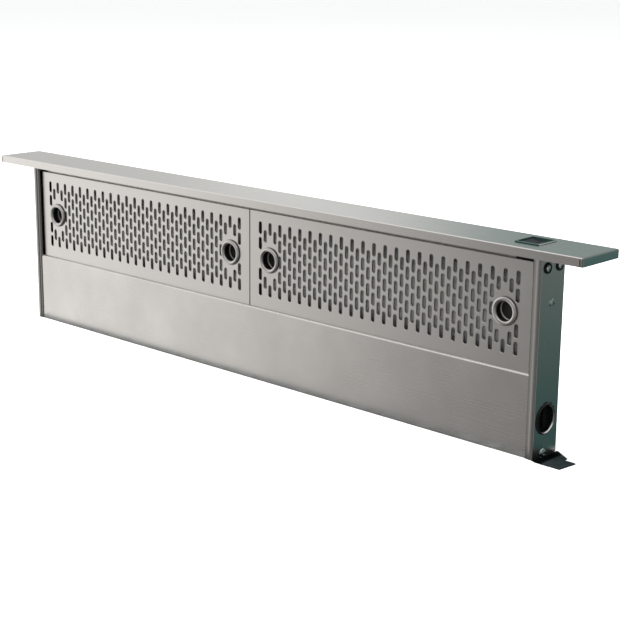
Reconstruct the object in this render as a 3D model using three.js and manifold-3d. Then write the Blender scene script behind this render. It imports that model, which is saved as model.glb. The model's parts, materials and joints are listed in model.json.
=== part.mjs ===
// Pop-up downdraft vent: a thin brushed-steel chimney that a lead screw raises out of a housing
// sunk behind a cooktop. Two grille cassettes stand in the chimney's front, a cap closes it on top.
// Millimetres, +Z up, the front faces -Y. The origin lies on the floor under the feet, in the middle.

import * as THREE from 'three';
import { mergeVertices } from 'three/addons/utils/BufferGeometryUtils.js';
import Module from 'manifold-3d';

const wasm = await Module();
wasm.setup();

// ---------------------------------------------------------------- driving dimensions

const GAP = 0.3; // between pieces that touch
const SHEET = 1.2; // steel sheet of the chimney, the cap and the housing

const COUNTER_Z = 350; // top of the countertop above the cabinet floor
const TAIL = 40; // what stays below the counter, chimney raised

const CHIMNEY_D = 42;
const FLANGE_W = 9.5; // front flange of an end post
const POST_BACK_FLANGE = 14;
const POST_RETURN = 5; // lip behind the front flange
const BEND_R = 2;

const CAP_L = 914;
const CAP_END = 54; // overhang at each end
const CAP_H = 9.2;
const CAP_FRONT = 12.5; // overhang in front
const CAP_BACK = 8.5;
const CAP_LIP = 7; // lip turned in under the cap

const LEDGE_Z = 86.8; // ledge of the lower panel above the counter
const LEDGE_D = 20;
const PANEL_HEM = 8; // lips along the edges of the panels
const BACK_HEM = 3;
const PANEL_RECESS = 1.5; // lower panel behind the front flanges
const GRILLE_RECESS = 5; // grilles behind the front flanges
const GRILLE_H = 110.8;
const HEAD = 8.4; // top of the grilles to the underside of the cap
const GRILLE_SEAM = 1; // between the two cassettes
const GRILLE_SIDE = 12.6; // end face of the chimney to a cassette
const GRILLE_DEPTH = 8;

const SLOT_W = 3.9;
const SLOT_L = 13.9;
const SLOT_PITCH = 15.5; // between columns of one kind
const SLOT_ROW = 18; // between rows of one kind
const SLOT_SIDE = 14; // least room from the middle of the last column to the side of the panel
const SLOT_HEAD = 11; // least room from the last slot to the top and foot of the panel
const SLOT_RISE = 1.7; // middle of the pattern above the middle of the panel

const RING_D = 30;
const RING_BORE = 22.4;
const RING_BARREL = 26;
const RING_PROUD = 2.4;
const RING_LIP = 2.2;
const RING_REACH = 9; // barrel behind the panel
const RING_CLEAR = 13.8; // no slot reaches nearer to the middle of a ring
const RING_OUT = 1; // middle of a ring outside of the second column

const FRAME_W = 10; // border of the mesh pad's frame
const FRAME_WALL = 1;

const RAIL_FRONT = -11.5; // top rail's front face
const RAIL_D = 28.9;
const RAIL_ABOVE = 1; // above the grilles
const MULLION_W = 22;
const MULLION_D = 5;

const SWITCH_END = 22; // middle of the switch from the end of the chimney
const SWITCH_L = 24;
const SWITCH_W = 26;
const BEZEL_W = 2.2;
const BEZEL_H = 0.9;
const SKIRT_T = 0.9;
const SWITCH_BODY_H = 8;
const SWITCH_BODY_INSET = 1;
const ROCKER_DISH = 1.6;
const ROCKER_H = 4.6;
const ROCKER_SHOULDER = 0.4; // share of its height at its two ends
const ROCKER_KEEL = 0.5; // share of its length at its foot
const ROCKER_CLEAR = 0.6;
const ROCKER_PIN_D = 2;
const ROCKER_PIVOT = 3.2; // below the cap's top

const KNOB_Z = 39; // above the counter
const KNOB_Y = -1.5;
const KNOB_D = 26;
const KNOB_BEZEL_D = 32;
const KNOB_BEZEL_H = 1.4;
const KNOB_SHAFT_D = 6;
const KNOB_RECESS = 2.6; // face of the knob behind the end face
const KNOB_H = 8;
const KNOB_GRIP_W = 5;
const KNOB_GRIP_H = 2;
const KNOB_GRIP_L = 20.8;
const KNOB_CHAMFER = 1;
const KNOB_CUP_T = 0.8;
const KNOB_CLEAR = 0.7;
const CONTROL_D = 24;
const CONTROL_H = 14;

const HOUSING_CLEAR_X = 9.5; // chimney end to the inside of the housing
const HOUSING_CLEAR_Y = 4.5;
const HOUSING_TOP = 1.5; // mouth of the housing below the counter
const HOUSING_BOTTOM = 10; // above the cabinet floor
const PAN_EDGE = 12;
const HOUSING_LIP = 10;
const END_FLANGE = 12;

const DUCT_W = 254;
const DUCT_H = 83;
const DUCT_END = 213; // middle of the duct from the left end of the chimney
const DUCT_Z = 68; // middle of the duct above the cabinet floor
const DUCT_REACH = 40;
const COLLAR_FLANGE = 12;
const COLLAR_WALL = 1;
const FLAP_Y = 12; // flap's hinge line in front of the front wall
const FLAP_PIN_D = 3;
const FLAP_GAP = 1.5;

const GUIDE_W = 22;
const GUIDE_D = 6.6;
const GUIDE_TOP = 19; // below the counter
const SHOE_H = 30;
const SHOE_CHAMFER = 1;

const LEAD_D = 10;
const LEAD_Y = 8;
const LEAD_TOP = 14; // below the counter
const LEAD_SHANK_D = 8;
const NUT_D = 15;
const NUT_FLANGE_D = 18.6;
const NUT_FLANGE_H = 3;
const NUT_BELOW = 18; // barrel below the crossbar's web
const CROSSBAR_W = 19;
const CROSSBAR_H = 13;
const CROSSBAR_Z = 25; // top of the crossbar below the counter
const LEAD_CHAMFER = 1;
const GEARBOX_W = 44;
const GEARBOX_H = 26;
const GEARBOX_Z = 82; // top of the gearbox above the cabinet floor
const MOTOR_D = 36;
const MOTOR_H = 42;
const GEARBOX_Y = 3;
const GEARBOX_CORNER = 4;
const MOTOR_BOSS_D = 14;
const MOTOR_BOSS_H = 2;
const MOTOR_CHAMFER = 1;
const BRACKET_T = 2;
const BRACKET_BEND_R = 3;
const BRACKET_UP = 30;
const COLLAR_D = 17;
const COLLAR_H = 10;

const BOX_END = 153; // middle of the junction box from the right end of the chimney
const BOX_W = 120;
const BOX_H = 70;
const BOX_D = 42;
const BOX_Z = 60;
const LID_T = 1.5;
const GLAND_D = 20;
const GLAND_BODY_L = 7.2;
const GLAND_STEP_L = 1.4;
const GLAND_NUT_D = 16.8;
const GLAND_NUT_L = 9.4;
const GLAND_TIP_D = 12;
const GLAND_TIP_L = 6;
const GLAND_BORE = 9;
const GLAND_THREAD_D = 15;
const GLAND_TAIL = 6;
const WIRE_HOLE_D = 16;

const LIMIT_W = 10;
const LIMIT_H = 20;
const LIMIT_D = 6;
const LIMIT_Y = 17;
const LIMIT_UPPER = 40; // below the counter
const LIMIT_LOWER = 240;

const FLANGE_T = 1.5; // counter flange bracket
const BRACKET_X = 34; // its reach beyond the chimney's end
const BRACKET_NECK = 19; // part of it that reaches back past the notch
const BRACKET_NOTCH_Y = 7;
const BRACKET_SKEW = 3; // slant of its outer edge
const BRACKET_NOTCH_SKEW = 1;
const BRACKET_Y = 24; // front edge from the middle
const BRACKET_LEG_W = 20;
const BRACKET_LEG = 16;
const BRACKET_RELIEF = 0.5; // step over the housing's edge, so that the seat lies flat
const BRACKET_CLEAR = 3.8; // screw heads pass between it and the chimney

const WIPER_H = 9;
const WIPER_T = 3;
const WIPER_END = 8; // end of the chimney to the end of the strip
const WIPER_DROP = 1; // below the mouth of the housing

const LEG_T = 2;
const LEG_W = 30;
const LEG_H = 120;
const LEG_CORNER = 4;
const FOOT_L = 150;
const FOOT_W = 46;
const FOOT_HOLE_END = 20;
const LEG_SLOT_W = 6.4;
const LEG_SLOT_L = 50;
const LEG_SLOT_Z = 50;

// ---------------------------------------------------------------- worked out from the above

const X_END = CAP_L / 2 - CAP_END;
const Y_FRONT = -CHIMNEY_D / 2;
const Y_BACK = CHIMNEY_D / 2;
const CAP_Z = COUNTER_Z + LEDGE_Z + GRILLE_H + HEAD; // underside of the cap
const CAP_TOP = CAP_Z + CAP_H;
const CHIMNEY_TOP = CAP_TOP - SHEET - GAP; // the posts reach up to the cap's sheet
const CHIMNEY_BOTTOM = COUNTER_Z - TAIL;

const GRILLE_Y = Y_FRONT + GRILLE_RECESS;
const GRILLE_Z = COUNTER_Z + LEDGE_Z + GAP;
const GRILLE_W = X_END - GRILLE_SIDE - GRILLE_SEAM / 2;
const GRILLE_X = (GRILLE_SEAM + GRILLE_W) / 2; // middle of the right cassette
const SLOT_COLUMNS = 1 + Math.floor((GRILLE_W - 2 * SLOT_SIDE) / SLOT_PITCH);
const SLOT_ROWS = 1 + Math.floor((GRILLE_H - 2 * SLOT_HEAD - SLOT_L) / SLOT_ROW);
const PATTERN_W = (SLOT_COLUMNS - 1) * SLOT_PITCH;
const RING_X = PATTERN_W / 2 - SLOT_PITCH + RING_OUT; // rings stand by the second column from each side
const RING_HOLE = RING_BARREL + 2 * GAP;
const GRILLE_BACK = GRILLE_Y + GRILLE_DEPTH;
const SWITCH_X = X_END - SWITCH_END;

const HOUSING_X = X_END + HOUSING_CLEAR_X; // inside of the housing
const HOUSING_Y = CHIMNEY_D / 2 + HOUSING_CLEAR_Y;
const HOUSING_Z = COUNTER_Z - HOUSING_TOP;
const FRONT_FACE = -HOUSING_Y - SHEET;
const GUIDE_X = HOUSING_X - GAP;
const DUCT_X = DUCT_END - X_END;
const BOX_X = X_END - BOX_END;

// ---------------------------------------------------------------- materials

function material(color, roughness, metalness) {
  return new THREE.MeshStandardMaterial({ color, roughness, metalness });
}

const steel = () => material(0xc4c1bd, 0.34, 1);
const galvanised = () => material(0xa9adae, 0.5, 0.9);
const aluminium = () => material(0x8f9294, 0.55, 0.9);
const zinc = () => material(0xb9bab6, 0.4, 1);
const darkSteel = () => material(0x2c3233, 0.45, 0.7);
const blackPlastic = () => material(0x141516, 0.45, 0);
const whitePlastic = () => material(0xd8d8d2, 0.5, 0);
const bronze = () => material(0xb08d4a, 0.4, 1);
const rubber = () => material(0x1b1b1b, 0.8, 0);

// ---------------------------------------------------------------- helpers

const vent = new THREE.Group();

function add(name, geometry, finish) {
  const mesh = new THREE.Mesh(outward(geometry), finish);
  mesh.name = name;
  vent.add(mesh);
  return mesh;
}

function signedVolume(geometry) {
  const p = geometry.attributes.position;
  const index = geometry.index;
  const [a, b, c] = [new THREE.Vector3(), new THREE.Vector3(), new THREE.Vector3()];
  let six = 0;
  for (let i = 0; i < index.count; i += 3) {
    a.fromBufferAttribute(p, index.getX(i));
    b.fromBufferAttribute(p, index.getX(i + 1));
    c.fromBufferAttribute(p, index.getX(i + 2));
    six += a.dot(b.cross(c));
  }
  return six / 6;
}

// Shared vertices merged, and the faces turned outward if a mirror or a profile left them inward.
function outward(geometry) {
  const plain = geometry.clone();
  for (const name of Object.keys(plain.attributes)) {
    if (name !== 'position') plain.deleteAttribute(name);
  }
  const merged = mergeVertices(plain, 1e-4);
  if (signedVolume(merged) < 0) {
    const list = merged.index.array;
    for (let i = 0; i < list.length; i += 3) [list[i], list[i + 1]] = [list[i + 1], list[i]];
  }
  return merged;
}

function toSolid(geometry) {
  const g = outward(geometry);
  return new wasm.Manifold(
    new wasm.Mesh({
      numProp: 3,
      vertProperties: new Float32Array(g.attributes.position.array),
      triVerts: new Uint32Array(g.index.array),
    }),
  );
}

function fromSolid(solid) {
  const mesh = solid.getMesh();
  const g = new THREE.BufferGeometry();
  g.setAttribute('position', new THREE.BufferAttribute(new Float32Array(mesh.vertProperties), 3));
  g.setIndex(new THREE.BufferAttribute(new Uint32Array(mesh.triVerts), 1));
  return g;
}

function cut(geometry, ...tools) {
  let solid = toSolid(geometry);
  for (const tool of tools) solid = solid.subtract(toSolid(tool));
  return fromSolid(solid);
}

function join(...geometries) {
  let solid = toSolid(geometries[0]);
  for (const g of geometries.slice(1)) solid = solid.add(toSolid(g));
  return fromSolid(solid);
}

function common(a, b) {
  return fromSolid(toSolid(a).intersect(toSolid(b)));
}

function box(x0, x1, y0, y1, z0, z1) {
  const g = new THREE.BoxGeometry(x1 - x0, y1 - y0, z1 - z0);
  return g.translate((x0 + x1) / 2, (y0 + y1) / 2, (z0 + z1) / 2);
}

function mirrorX(geometry) {
  return geometry.clone().scale(-1, 1, 1);
}

const X = new THREE.Vector3(1, 0, 0);
const Y = new THREE.Vector3(0, 1, 0);
const Z = new THREE.Vector3(0, 0, 1);

function extrude(shape, depth, curveSegments = 4) {
  return new THREE.ExtrudeGeometry(shape, { depth, bevelEnabled: false, curveSegments });
}

// An outline in Y and Z, run along X.
function alongX(shape, x0, x1) {
  return extrude(shape, x1 - x0).applyMatrix4(new THREE.Matrix4().makeBasis(Y, Z, X)).translate(x0, 0, 0);
}

// An outline in X and Z, run along Y.
function alongY(shape, y0, y1, curveSegments) {
  const frame = new THREE.Matrix4().makeBasis(X, Z, Y.clone().negate());
  return extrude(shape, y1 - y0, curveSegments).applyMatrix4(frame).translate(0, y1, 0);
}

// An outline in X and Y, run along Z.
function alongZ(shape, z0, z1) {
  return extrude(shape, z1 - z0).translate(0, 0, z0);
}

function rectangle(x0, x1, y0, y1) {
  const shape = new THREE.Shape();
  shape.moveTo(x0, y0).lineTo(x1, y0).lineTo(x1, y1).lineTo(x0, y1).closePath();
  return shape;
}

function circleHole(x, y, d) {
  const hole = new THREE.Path();
  hole.absarc(x, y, d / 2, 0, Math.PI * 2, true);
  return hole;
}

// A turned piece about a line along the given axis through (0, 0, 0): pairs of radius and place.
function turned(profile, axis = Z, segments = 20) {
  const points = profile.map(([r, h]) => new THREE.Vector2(r, h));
  const g = new THREE.LatheGeometry(points, segments);
  if (axis === Z) g.rotateX(Math.PI / 2);
  if (axis === X) g.rotateZ(-Math.PI / 2);
  return g;
}

function ringProfile(rIn, rOut, h0, h1) {
  return [[rIn, h0], [rOut, h0], [rOut, h1], [rIn, h1], [rIn, h0]];
}

function rodProfile(r, h0, h1) {
  return [[0, h0], [r, h0], [r, h1], [0, h1]];
}

// The outline of a folded sheet: its thickness lies to the left of the path, the bends are round.
function folded(path, thickness = SHEET, radius = BEND_R, steps = 2) {
  const near = [];
  const far = [];
  const points = path.map(([u, v]) => new THREE.Vector2(u, v));
  const side = (d) => new THREE.Vector2(-d.y, d.x);
  const direction = (i) => points[i + 1].clone().sub(points[i]).normalize();
  const end = (i, d) => {
    near.push(points[i].clone());
    far.push(points[i].clone().addScaledVector(side(d), thickness));
  };
  end(0, direction(0));
  for (let i = 1; i < points.length - 1; i++) {
    const d1 = direction(i - 1);
    const d2 = direction(i);
    const turn = Math.atan2(d1.cross(d2), d1.dot(d2));
    const left = Math.sign(turn);
    const nearR = left > 0 ? radius : radius - thickness;
    const farR = left > 0 ? radius - thickness : radius;
    const back = nearR * Math.tan(Math.abs(turn) / 2);
    const centre = points[i].clone().addScaledVector(d1, -back).addScaledVector(side(d1), left * nearR);
    for (let k = 0; k <= steps; k++) {
      const spoke = side(d1).multiplyScalar(-left).rotateAround(new THREE.Vector2(), (turn * k) / steps);
      near.push(centre.clone().addScaledVector(spoke, nearR));
      far.push(centre.clone().addScaledVector(spoke, farR));
    }
  }
  end(points.length - 1, direction(points.length - 2));
  return new THREE.Shape([...near, ...far.reverse()]);
}

// ---------------------------------------------------------------- chimney

// A box with round edges along its top, between two corners.
function capBlock(x0, x1, y0, y1, z0, z1, radius) {
  const section = (a, b) => {
    const shape = new THREE.Shape();
    shape.moveTo(a, z0).lineTo(b, z0).lineTo(b, z1 - radius);
    shape.absarc(b - radius, z1 - radius, radius, 0, Math.PI / 2, false);
    shape.lineTo(a + radius, z1);
    shape.absarc(a + radius, z1 - radius, radius, Math.PI / 2, Math.PI, false);
    return shape;
  };
  return common(alongX(section(y0, y1), x0, x1), alongY(section(x0, x1), y0, y1));
}

function switchOpening(clear) {
  const halfL = SWITCH_L / 2 + ROCKER_CLEAR + SKIRT_T + clear;
  const halfW = SWITCH_W / 2 + ROCKER_CLEAR + SKIRT_T + clear;
  return [SWITCH_X - halfL, SWITCH_X + halfL, -halfW, halfW];
}

function makeCap() {
  const x = CAP_L / 2;
  const front = Y_FRONT - CAP_FRONT;
  const back = Y_BACK + CAP_BACK;
  const outside = capBlock(-x, x, front, back, CAP_Z, CAP_TOP, BEND_R);
  const t = SHEET;
  const inside = capBlock(-x + t, x - t, front + t, back - t, CAP_Z + t, CAP_TOP - t, BEND_R - t);
  const lip = CAP_LIP;
  const under = box(-x + lip, x - lip, front + lip, back - lip, CAP_Z - t, CAP_Z + 2 * t);
  const opening = box(...switchOpening(GAP), CAP_TOP - 2 * t, CAP_TOP + t);
  add('cap', cut(outside, inside, under, opening), steel());
}

function sidewaysCylinder(d, x0, x1, y, z) {
  return turned(rodProfile(d / 2, x0, x1), X).translate(0, y, z);
}

function makeEndPosts() {
  const lip = Y_FRONT + POST_RETURN;
  const flange = X_END - FLANGE_W;
  const section = folded([
    [flange, lip],
    [flange, Y_FRONT],
    [X_END, Y_FRONT],
    [X_END, Y_BACK],
    [X_END - POST_BACK_FLANGE, Y_BACK],
  ]);
  const post = alongZ(section, CHIMNEY_BOTTOM, CHIMNEY_TOP);
  const cupHole = KNOB_D + 2 * (KNOB_CLEAR + KNOB_CUP_T + GAP);
  const knobHole = sidewaysCylinder(cupHole, X_END - 2 * SHEET, X_END + SHEET, KNOB_Y, COUNTER_Z + KNOB_Z);
  add('side_channel_left', mirrorX(post), steel());
  add('side_channel_right', cut(post, knobHole), steel());
}

function makePanels() {
  const y = Y_FRONT + PANEL_RECESS;
  const ledge = COUNTER_Z + LEDGE_Z;
  const ledgeBack = y + LEDGE_D;
  const front = folded([
    [y + PANEL_HEM, CHIMNEY_BOTTOM],
    [y, CHIMNEY_BOTTOM],
    [y, ledge],
    [ledgeBack, ledge],
    [ledgeBack, ledge - PANEL_HEM],
  ].reverse());
  const half = X_END - FLANGE_W - GAP;
  add('front_panel', alongX(front, -half, half), steel());

  const face = Y_BACK - SHEET - GAP;
  const back = folded([
    [face - BACK_HEM, CHIMNEY_BOTTOM],
    [face, CHIMNEY_BOTTOM],
    [face, CHIMNEY_TOP],
  ]);
  const backHalf = X_END - SHEET - GAP;
  add('back_panel', alongX(back, -backHalf, backHalf), galvanised());
}

function makeTopRail() {
  const bottom = GRILLE_Z + GRILLE_H + RAIL_ABOVE;
  const section = folded([
    [RAIL_FRONT, bottom],
    [RAIL_FRONT, CHIMNEY_TOP],
    [RAIL_FRONT + RAIL_D, CHIMNEY_TOP],
    [RAIL_FRONT + RAIL_D, bottom],
  ].reverse());
  const half = X_END - SHEET - GAP;
  const rail = alongX(section, -half, half);
  const [x0, x1, y0, y1] = switchOpening(2 * GAP);
  const notch = box(x0, x1, y0, y1, bottom - SHEET, CAP_TOP);
  add('top_rail', cut(rail, notch), galvanised());
}

function makeMullion() {
  const front = GRILLE_BACK + GAP;
  const section = folded([
    [MULLION_W / 2, front + MULLION_D],
    [MULLION_W / 2, front],
    [-MULLION_W / 2, front],
    [-MULLION_W / 2, front + MULLION_D],
  ].reverse());
  add('centre_mullion', alongZ(section, GRILLE_Z, CHIMNEY_TOP - SHEET - GAP), galvanised());
}

function makeCrossbar() {
  const top = COUNTER_Z - CROSSBAR_Z;
  const y0 = LEAD_Y - CROSSBAR_W / 2;
  const y1 = LEAD_Y + CROSSBAR_W / 2;
  const section = folded([[y0, top - CROSSBAR_H], [y0, top], [y1, top], [y1, top - CROSSBAR_H]].reverse());
  const half = X_END - SHEET - GAP;
  const hole = turned(rodProfile(NUT_D / 2 + GAP, top - 2 * SHEET, top + SHEET)).translate(0, LEAD_Y, 0);
  add('bottom_crossbar', cut(alongX(section, -half, half), hole), galvanised());
}

function makeNut() {
  const seat = COUNTER_Z - CROSSBAR_Z + GAP;
  const bore = LEAD_D / 2 + GAP;
  const nut = turned([
    [bore, seat - NUT_BELOW],
    [NUT_D / 2, seat - NUT_BELOW],
    [NUT_D / 2, seat],
    [NUT_FLANGE_D / 2, seat],
    [NUT_FLANGE_D / 2, seat + NUT_FLANGE_H],
    [bore, seat + NUT_FLANGE_H],
    [bore, seat - NUT_BELOW],
  ]);
  add('drive_nut', nut.translate(0, LEAD_Y, 0), bronze());
}

function makeShoes() {
  const half = GUIDE_W / 2 - SHEET - GAP;
  const outer = GUIDE_X - SHEET - GAP;
  const c = SHOE_CHAMFER;
  const shape = new THREE.Shape();
  shape.moveTo(X_END + GAP, -half + c).lineTo(X_END + GAP + c, -half).lineTo(outer, -half);
  shape.lineTo(outer, half).lineTo(X_END + GAP + c, half).lineTo(X_END + GAP, half - c).closePath();
  const shoe = alongZ(shape, CHIMNEY_BOTTOM, CHIMNEY_BOTTOM + SHOE_H);
  add('guide_shoe_left', mirrorX(shoe), whitePlastic());
  add('guide_shoe_right', shoe, whitePlastic());
}

// ---------------------------------------------------------------- grille cassettes

// Middles of the slots about the middle of the panel: long columns, and short ones between them.
function slotPlaces() {
  const places = [];
  const nearRing = (x, z) => {
    const across = Math.abs(Math.abs(x) - RING_X) - SLOT_W / 2;
    const up = Math.abs(z) - SLOT_L / 2;
    return Math.hypot(Math.max(across, 0), Math.max(up, 0)) < RING_CLEAR;
  };
  const column = (x, rows) => {
    for (let row = 0; row < rows; row++) {
      const z = ((rows - 1) / 2 - row) * SLOT_ROW;
      if (!nearRing(x, z)) places.push([x, z]);
    }
  };
  for (let i = 0; i < SLOT_COLUMNS; i++) {
    const x = -PATTERN_W / 2 + i * SLOT_PITCH;
    column(x, SLOT_ROWS);
    if (i < SLOT_COLUMNS - 1) column(x + SLOT_PITCH / 2, SLOT_ROWS - 1);
  }
  return places;
}

function slotTool(x, z) {
  return box(x - SLOT_W / 2, x + SLOT_W / 2, GRILLE_Y - SHEET, GRILLE_BACK, z - SLOT_L / 2, z + SLOT_L / 2);
}

function makeGrillePanel(name, middleX) {
  const w = GRILLE_W / 2;
  const h = GRILLE_H / 2;
  const face = rectangle(-w, w, -h, h);
  for (const x of [-RING_X, RING_X]) face.holes.push(circleHole(x, SLOT_RISE, RING_HOLE));
  const plate = alongY(face, GRILLE_Y, GRILLE_Y + SHEET, 10);
  const rim = rectangle(-w, w, -h, h);
  rim.holes.push(rectangle(-w + SHEET, w - SHEET, -h + SHEET, h - SHEET));
  const edges = alongY(rim, GRILLE_Y + SHEET / 2, GRILLE_BACK);
  const slots = slotPlaces().map(([x, z]) => slotTool(x, z + SLOT_RISE));
  add(name, cut(join(plate, edges), ...slots).translate(middleX, 0, GRILLE_Z + h), steel());
}

function makeRing(name, x) {
  const lip = RING_LIP / 2;
  const seat = -SHEET / 2 - GAP;
  const front = seat - RING_PROUD;
  const profile = [
    [RING_BORE / 2, RING_REACH],
    [RING_BORE / 2, front + lip],
    [RING_BORE / 2 + lip, front],
    [RING_D / 2 - lip, front],
    [RING_D / 2, front + lip],
    [RING_D / 2, seat],
    [RING_BARREL / 2, seat],
    [RING_BARREL / 2, RING_REACH],
    [RING_BORE / 2, RING_REACH],
  ];
  const ring = turned(profile, Y, 16);
  const z = GRILLE_Z + GRILLE_H / 2 + SLOT_RISE;
  add(name, ring.translate(x, GRILLE_Y + SHEET / 2, z), steel());
}

function makeFilter(side, middleX) {
  const w = GRILLE_W / 2 - SHEET - GAP;
  const h = GRILLE_H / 2 - SHEET - GAP;
  const front = GRILLE_Y + SHEET + GAP;
  const border = rectangle(-w, w, -h, h);
  border.holes.push(rectangle(-w + FRAME_W, w - FRAME_W, -h + FRAME_W, h - FRAME_W));
  const wall = rectangle(-w, w, -h, h);
  wall.holes.push(rectangle(-w + FRAME_WALL, w - FRAME_WALL, -h + FRAME_WALL, h - FRAME_WALL));
  const frame = join(
    alongY(border, front, front + FRAME_WALL),
    alongY(wall, front + FRAME_WALL / 2, GRILLE_BACK),
  );
  const z = GRILLE_Z + GRILLE_H / 2;
  add(`filter_frame_${side}`, frame.translate(middleX, 0, z), aluminium());

  const inset = FRAME_WALL + GAP;
  const pad = rectangle(-w + inset, w - inset, -h + inset, h - inset);
  for (const x of [-RING_X, RING_X]) pad.holes.push(circleHole(x, SLOT_RISE, RING_HOLE));
  const mesh = alongY(pad, front + FRAME_WALL + GAP, GRILLE_BACK, 10);
  add(`filter_mesh_${side}`, mesh.translate(middleX, 0, z), aluminium());
}

function makeCassettes() {
  for (const [side, sign] of [['left', -1], ['right', 1]]) {
    const middle = sign * GRILLE_X;
    makeGrillePanel(`grille_panel_${side}`, middle);
    makeRing(`finger_ring_${side}_outer`, middle + sign * RING_X);
    makeRing(`finger_ring_${side}_inner`, middle - sign * RING_X);
    makeFilter(side, middle);
  }
}

// ---------------------------------------------------------------- controls

function makeSwitch() {
  const top = CAP_TOP + GAP;
  const inner = [SWITCH_L / 2 + ROCKER_CLEAR, SWITCH_W / 2 + ROCKER_CLEAR];
  const outer = [inner[0] + BEZEL_W, inner[1] + BEZEL_W];
  const skirt = [inner[0] + SKIRT_T, inner[1] + SKIRT_T];
  const bottom = CAP_TOP - ROCKER_PIVOT - ROCKER_H;
  const ringOf = ([a, b]) => {
    const shape = rectangle(-a, a, -b, b);
    shape.holes.push(rectangle(-inner[0], inner[0], -inner[1], inner[1]));
    return shape;
  };
  const rim = alongZ(ringOf(outer), top, top + BEZEL_H);
  const frame = join(rim, alongZ(ringOf(skirt), bottom, top + BEZEL_H / 2));
  const pivotZ = CAP_TOP - ROCKER_PIVOT;
  const bore = turned(rodProfile(ROCKER_PIN_D / 2 + GAP, -SWITCH_W, SWITCH_W), Y, 12).translate(0, 0, pivotZ);
  add('switch_bezel', cut(frame, bore).translate(SWITCH_X, 0, 0), steel());

  const l = SWITCH_L / 2;
  const rocker = new THREE.Shape();
  rocker.moveTo(-l, CAP_TOP).quadraticCurveTo(0, CAP_TOP - 2 * ROCKER_DISH, l, CAP_TOP);
  const keel = l * ROCKER_KEEL;
  const shoulder = CAP_TOP - ROCKER_H * ROCKER_SHOULDER;
  rocker.lineTo(l, shoulder).lineTo(keel, CAP_TOP - ROCKER_H);
  rocker.lineTo(-keel, CAP_TOP - ROCKER_H).lineTo(-l, shoulder).closePath();
  const body = cut(alongY(rocker, -SWITCH_W / 2, SWITCH_W / 2), bore);
  add('rocker_switch', body.translate(SWITCH_X, 0, 0), blackPlastic());

  const pin = turned(rodProfile(ROCKER_PIN_D / 2, -skirt[1], skirt[1]), Y, 12);
  add('rocker_pin', pin.translate(SWITCH_X, 0, pivotZ), zinc());

  const [bx, by] = [SWITCH_L / 2, SWITCH_W / 2 - SWITCH_BODY_INSET];
  const housing = box(-bx, bx, -by, by, bottom - GAP - SWITCH_BODY_H, bottom - GAP);
  add('switch_body', housing.translate(SWITCH_X, 0, 0), blackPlastic());
}

function makeKnob() {
  const place = (g) => g.translate(X_END, KNOB_Y, COUNTER_Z + KNOB_Z);
  const cup = KNOB_D / 2 + KNOB_CLEAR;
  const knobBack = -KNOB_RECESS - KNOB_H;
  const floor = knobBack - GAP;
  const bore = KNOB_SHAFT_D / 2 + GAP;
  const bezel = turned([
    [bore, floor - KNOB_CUP_T],
    [cup + KNOB_CUP_T, floor - KNOB_CUP_T],
    [cup + KNOB_CUP_T, GAP],
    [KNOB_BEZEL_D / 2, GAP],
    [KNOB_BEZEL_D / 2 - KNOB_BEZEL_H / 2, GAP + KNOB_BEZEL_H],
    [cup, GAP + KNOB_BEZEL_H],
    [cup, floor],
    [bore, floor],
    [bore, floor - KNOB_CUP_T],
  ], X);
  add('knob_bezel', place(bezel), darkSteel());

  const grip = KNOB_GRIP_W / 2;
  const r = KNOB_D / 2;
  const disc = turned([
    [0, knobBack + KNOB_H / 2],
    [bore, knobBack + KNOB_H / 2],
    [bore, knobBack],
    [r, knobBack],
    [r, -KNOB_RECESS - KNOB_CHAMFER],
    [r - KNOB_CHAMFER, -KNOB_RECESS],
    [0, -KNOB_RECESS],
  ], X);
  const [barIn, barOut] = [-KNOB_RECESS - KNOB_CHAMFER, -KNOB_RECESS + KNOB_GRIP_H];
  const bar = box(barIn, barOut, -grip, grip, -KNOB_GRIP_L / 2, KNOB_GRIP_L / 2);
  add('speed_knob', place(join(disc, bar)), blackPlastic());

  const behind = floor - KNOB_CUP_T - GAP;
  const control = turned([
    [0, behind - CONTROL_H],
    [CONTROL_D / 2, behind - CONTROL_H],
    [CONTROL_D / 2, behind],
    [KNOB_SHAFT_D / 2, behind],
    [KNOB_SHAFT_D / 2, knobBack + KNOB_H / 2 - GAP],
    [0, knobBack + KNOB_H / 2 - GAP],
  ], X);
  add('speed_control', place(control), zinc());
}

// ---------------------------------------------------------------- housing

function makeHousingWalls() {
  const y = HOUSING_Y;
  const half = HOUSING_X + SHEET;
  const front = folded([[-y, HOUSING_BOTTOM], [-y, HOUSING_Z], [-y - SHEET - HOUSING_LIP, HOUSING_Z]]);
  const duct = box(
    DUCT_X - DUCT_W / 2, DUCT_X + DUCT_W / 2, -y - 2 * SHEET, -y + SHEET,
    DUCT_Z - DUCT_H / 2, DUCT_Z + DUCT_H / 2,
  );
  const wireHole = turned(rodProfile(WIRE_HOLE_D / 2, -SHEET, 3 * SHEET), Y, 16);
  wireHole.translate(BOX_X, -y - 2 * SHEET, BOX_Z + BOX_H / 2);
  const wall = alongX(front, -half, half);
  add('housing_front', cut(wall, duct, wireHole), galvanised());
  add('housing_back', wall.clone().rotateZ(Math.PI), galvanised());

  const side = HOUSING_Y - GAP;
  const end = folded([
    [HOUSING_X + SHEET - END_FLANGE, -side],
    [HOUSING_X + SHEET, -side],
    [HOUSING_X + SHEET, side],
    [HOUSING_X + SHEET - END_FLANGE, side],
  ]);
  const right = alongZ(end, HOUSING_BOTTOM + PAN_EDGE + SHEET, HOUSING_Z);
  add('housing_end_left', mirrorX(right), galvanised());
  add('housing_end_right', right, galvanised());
}

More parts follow.
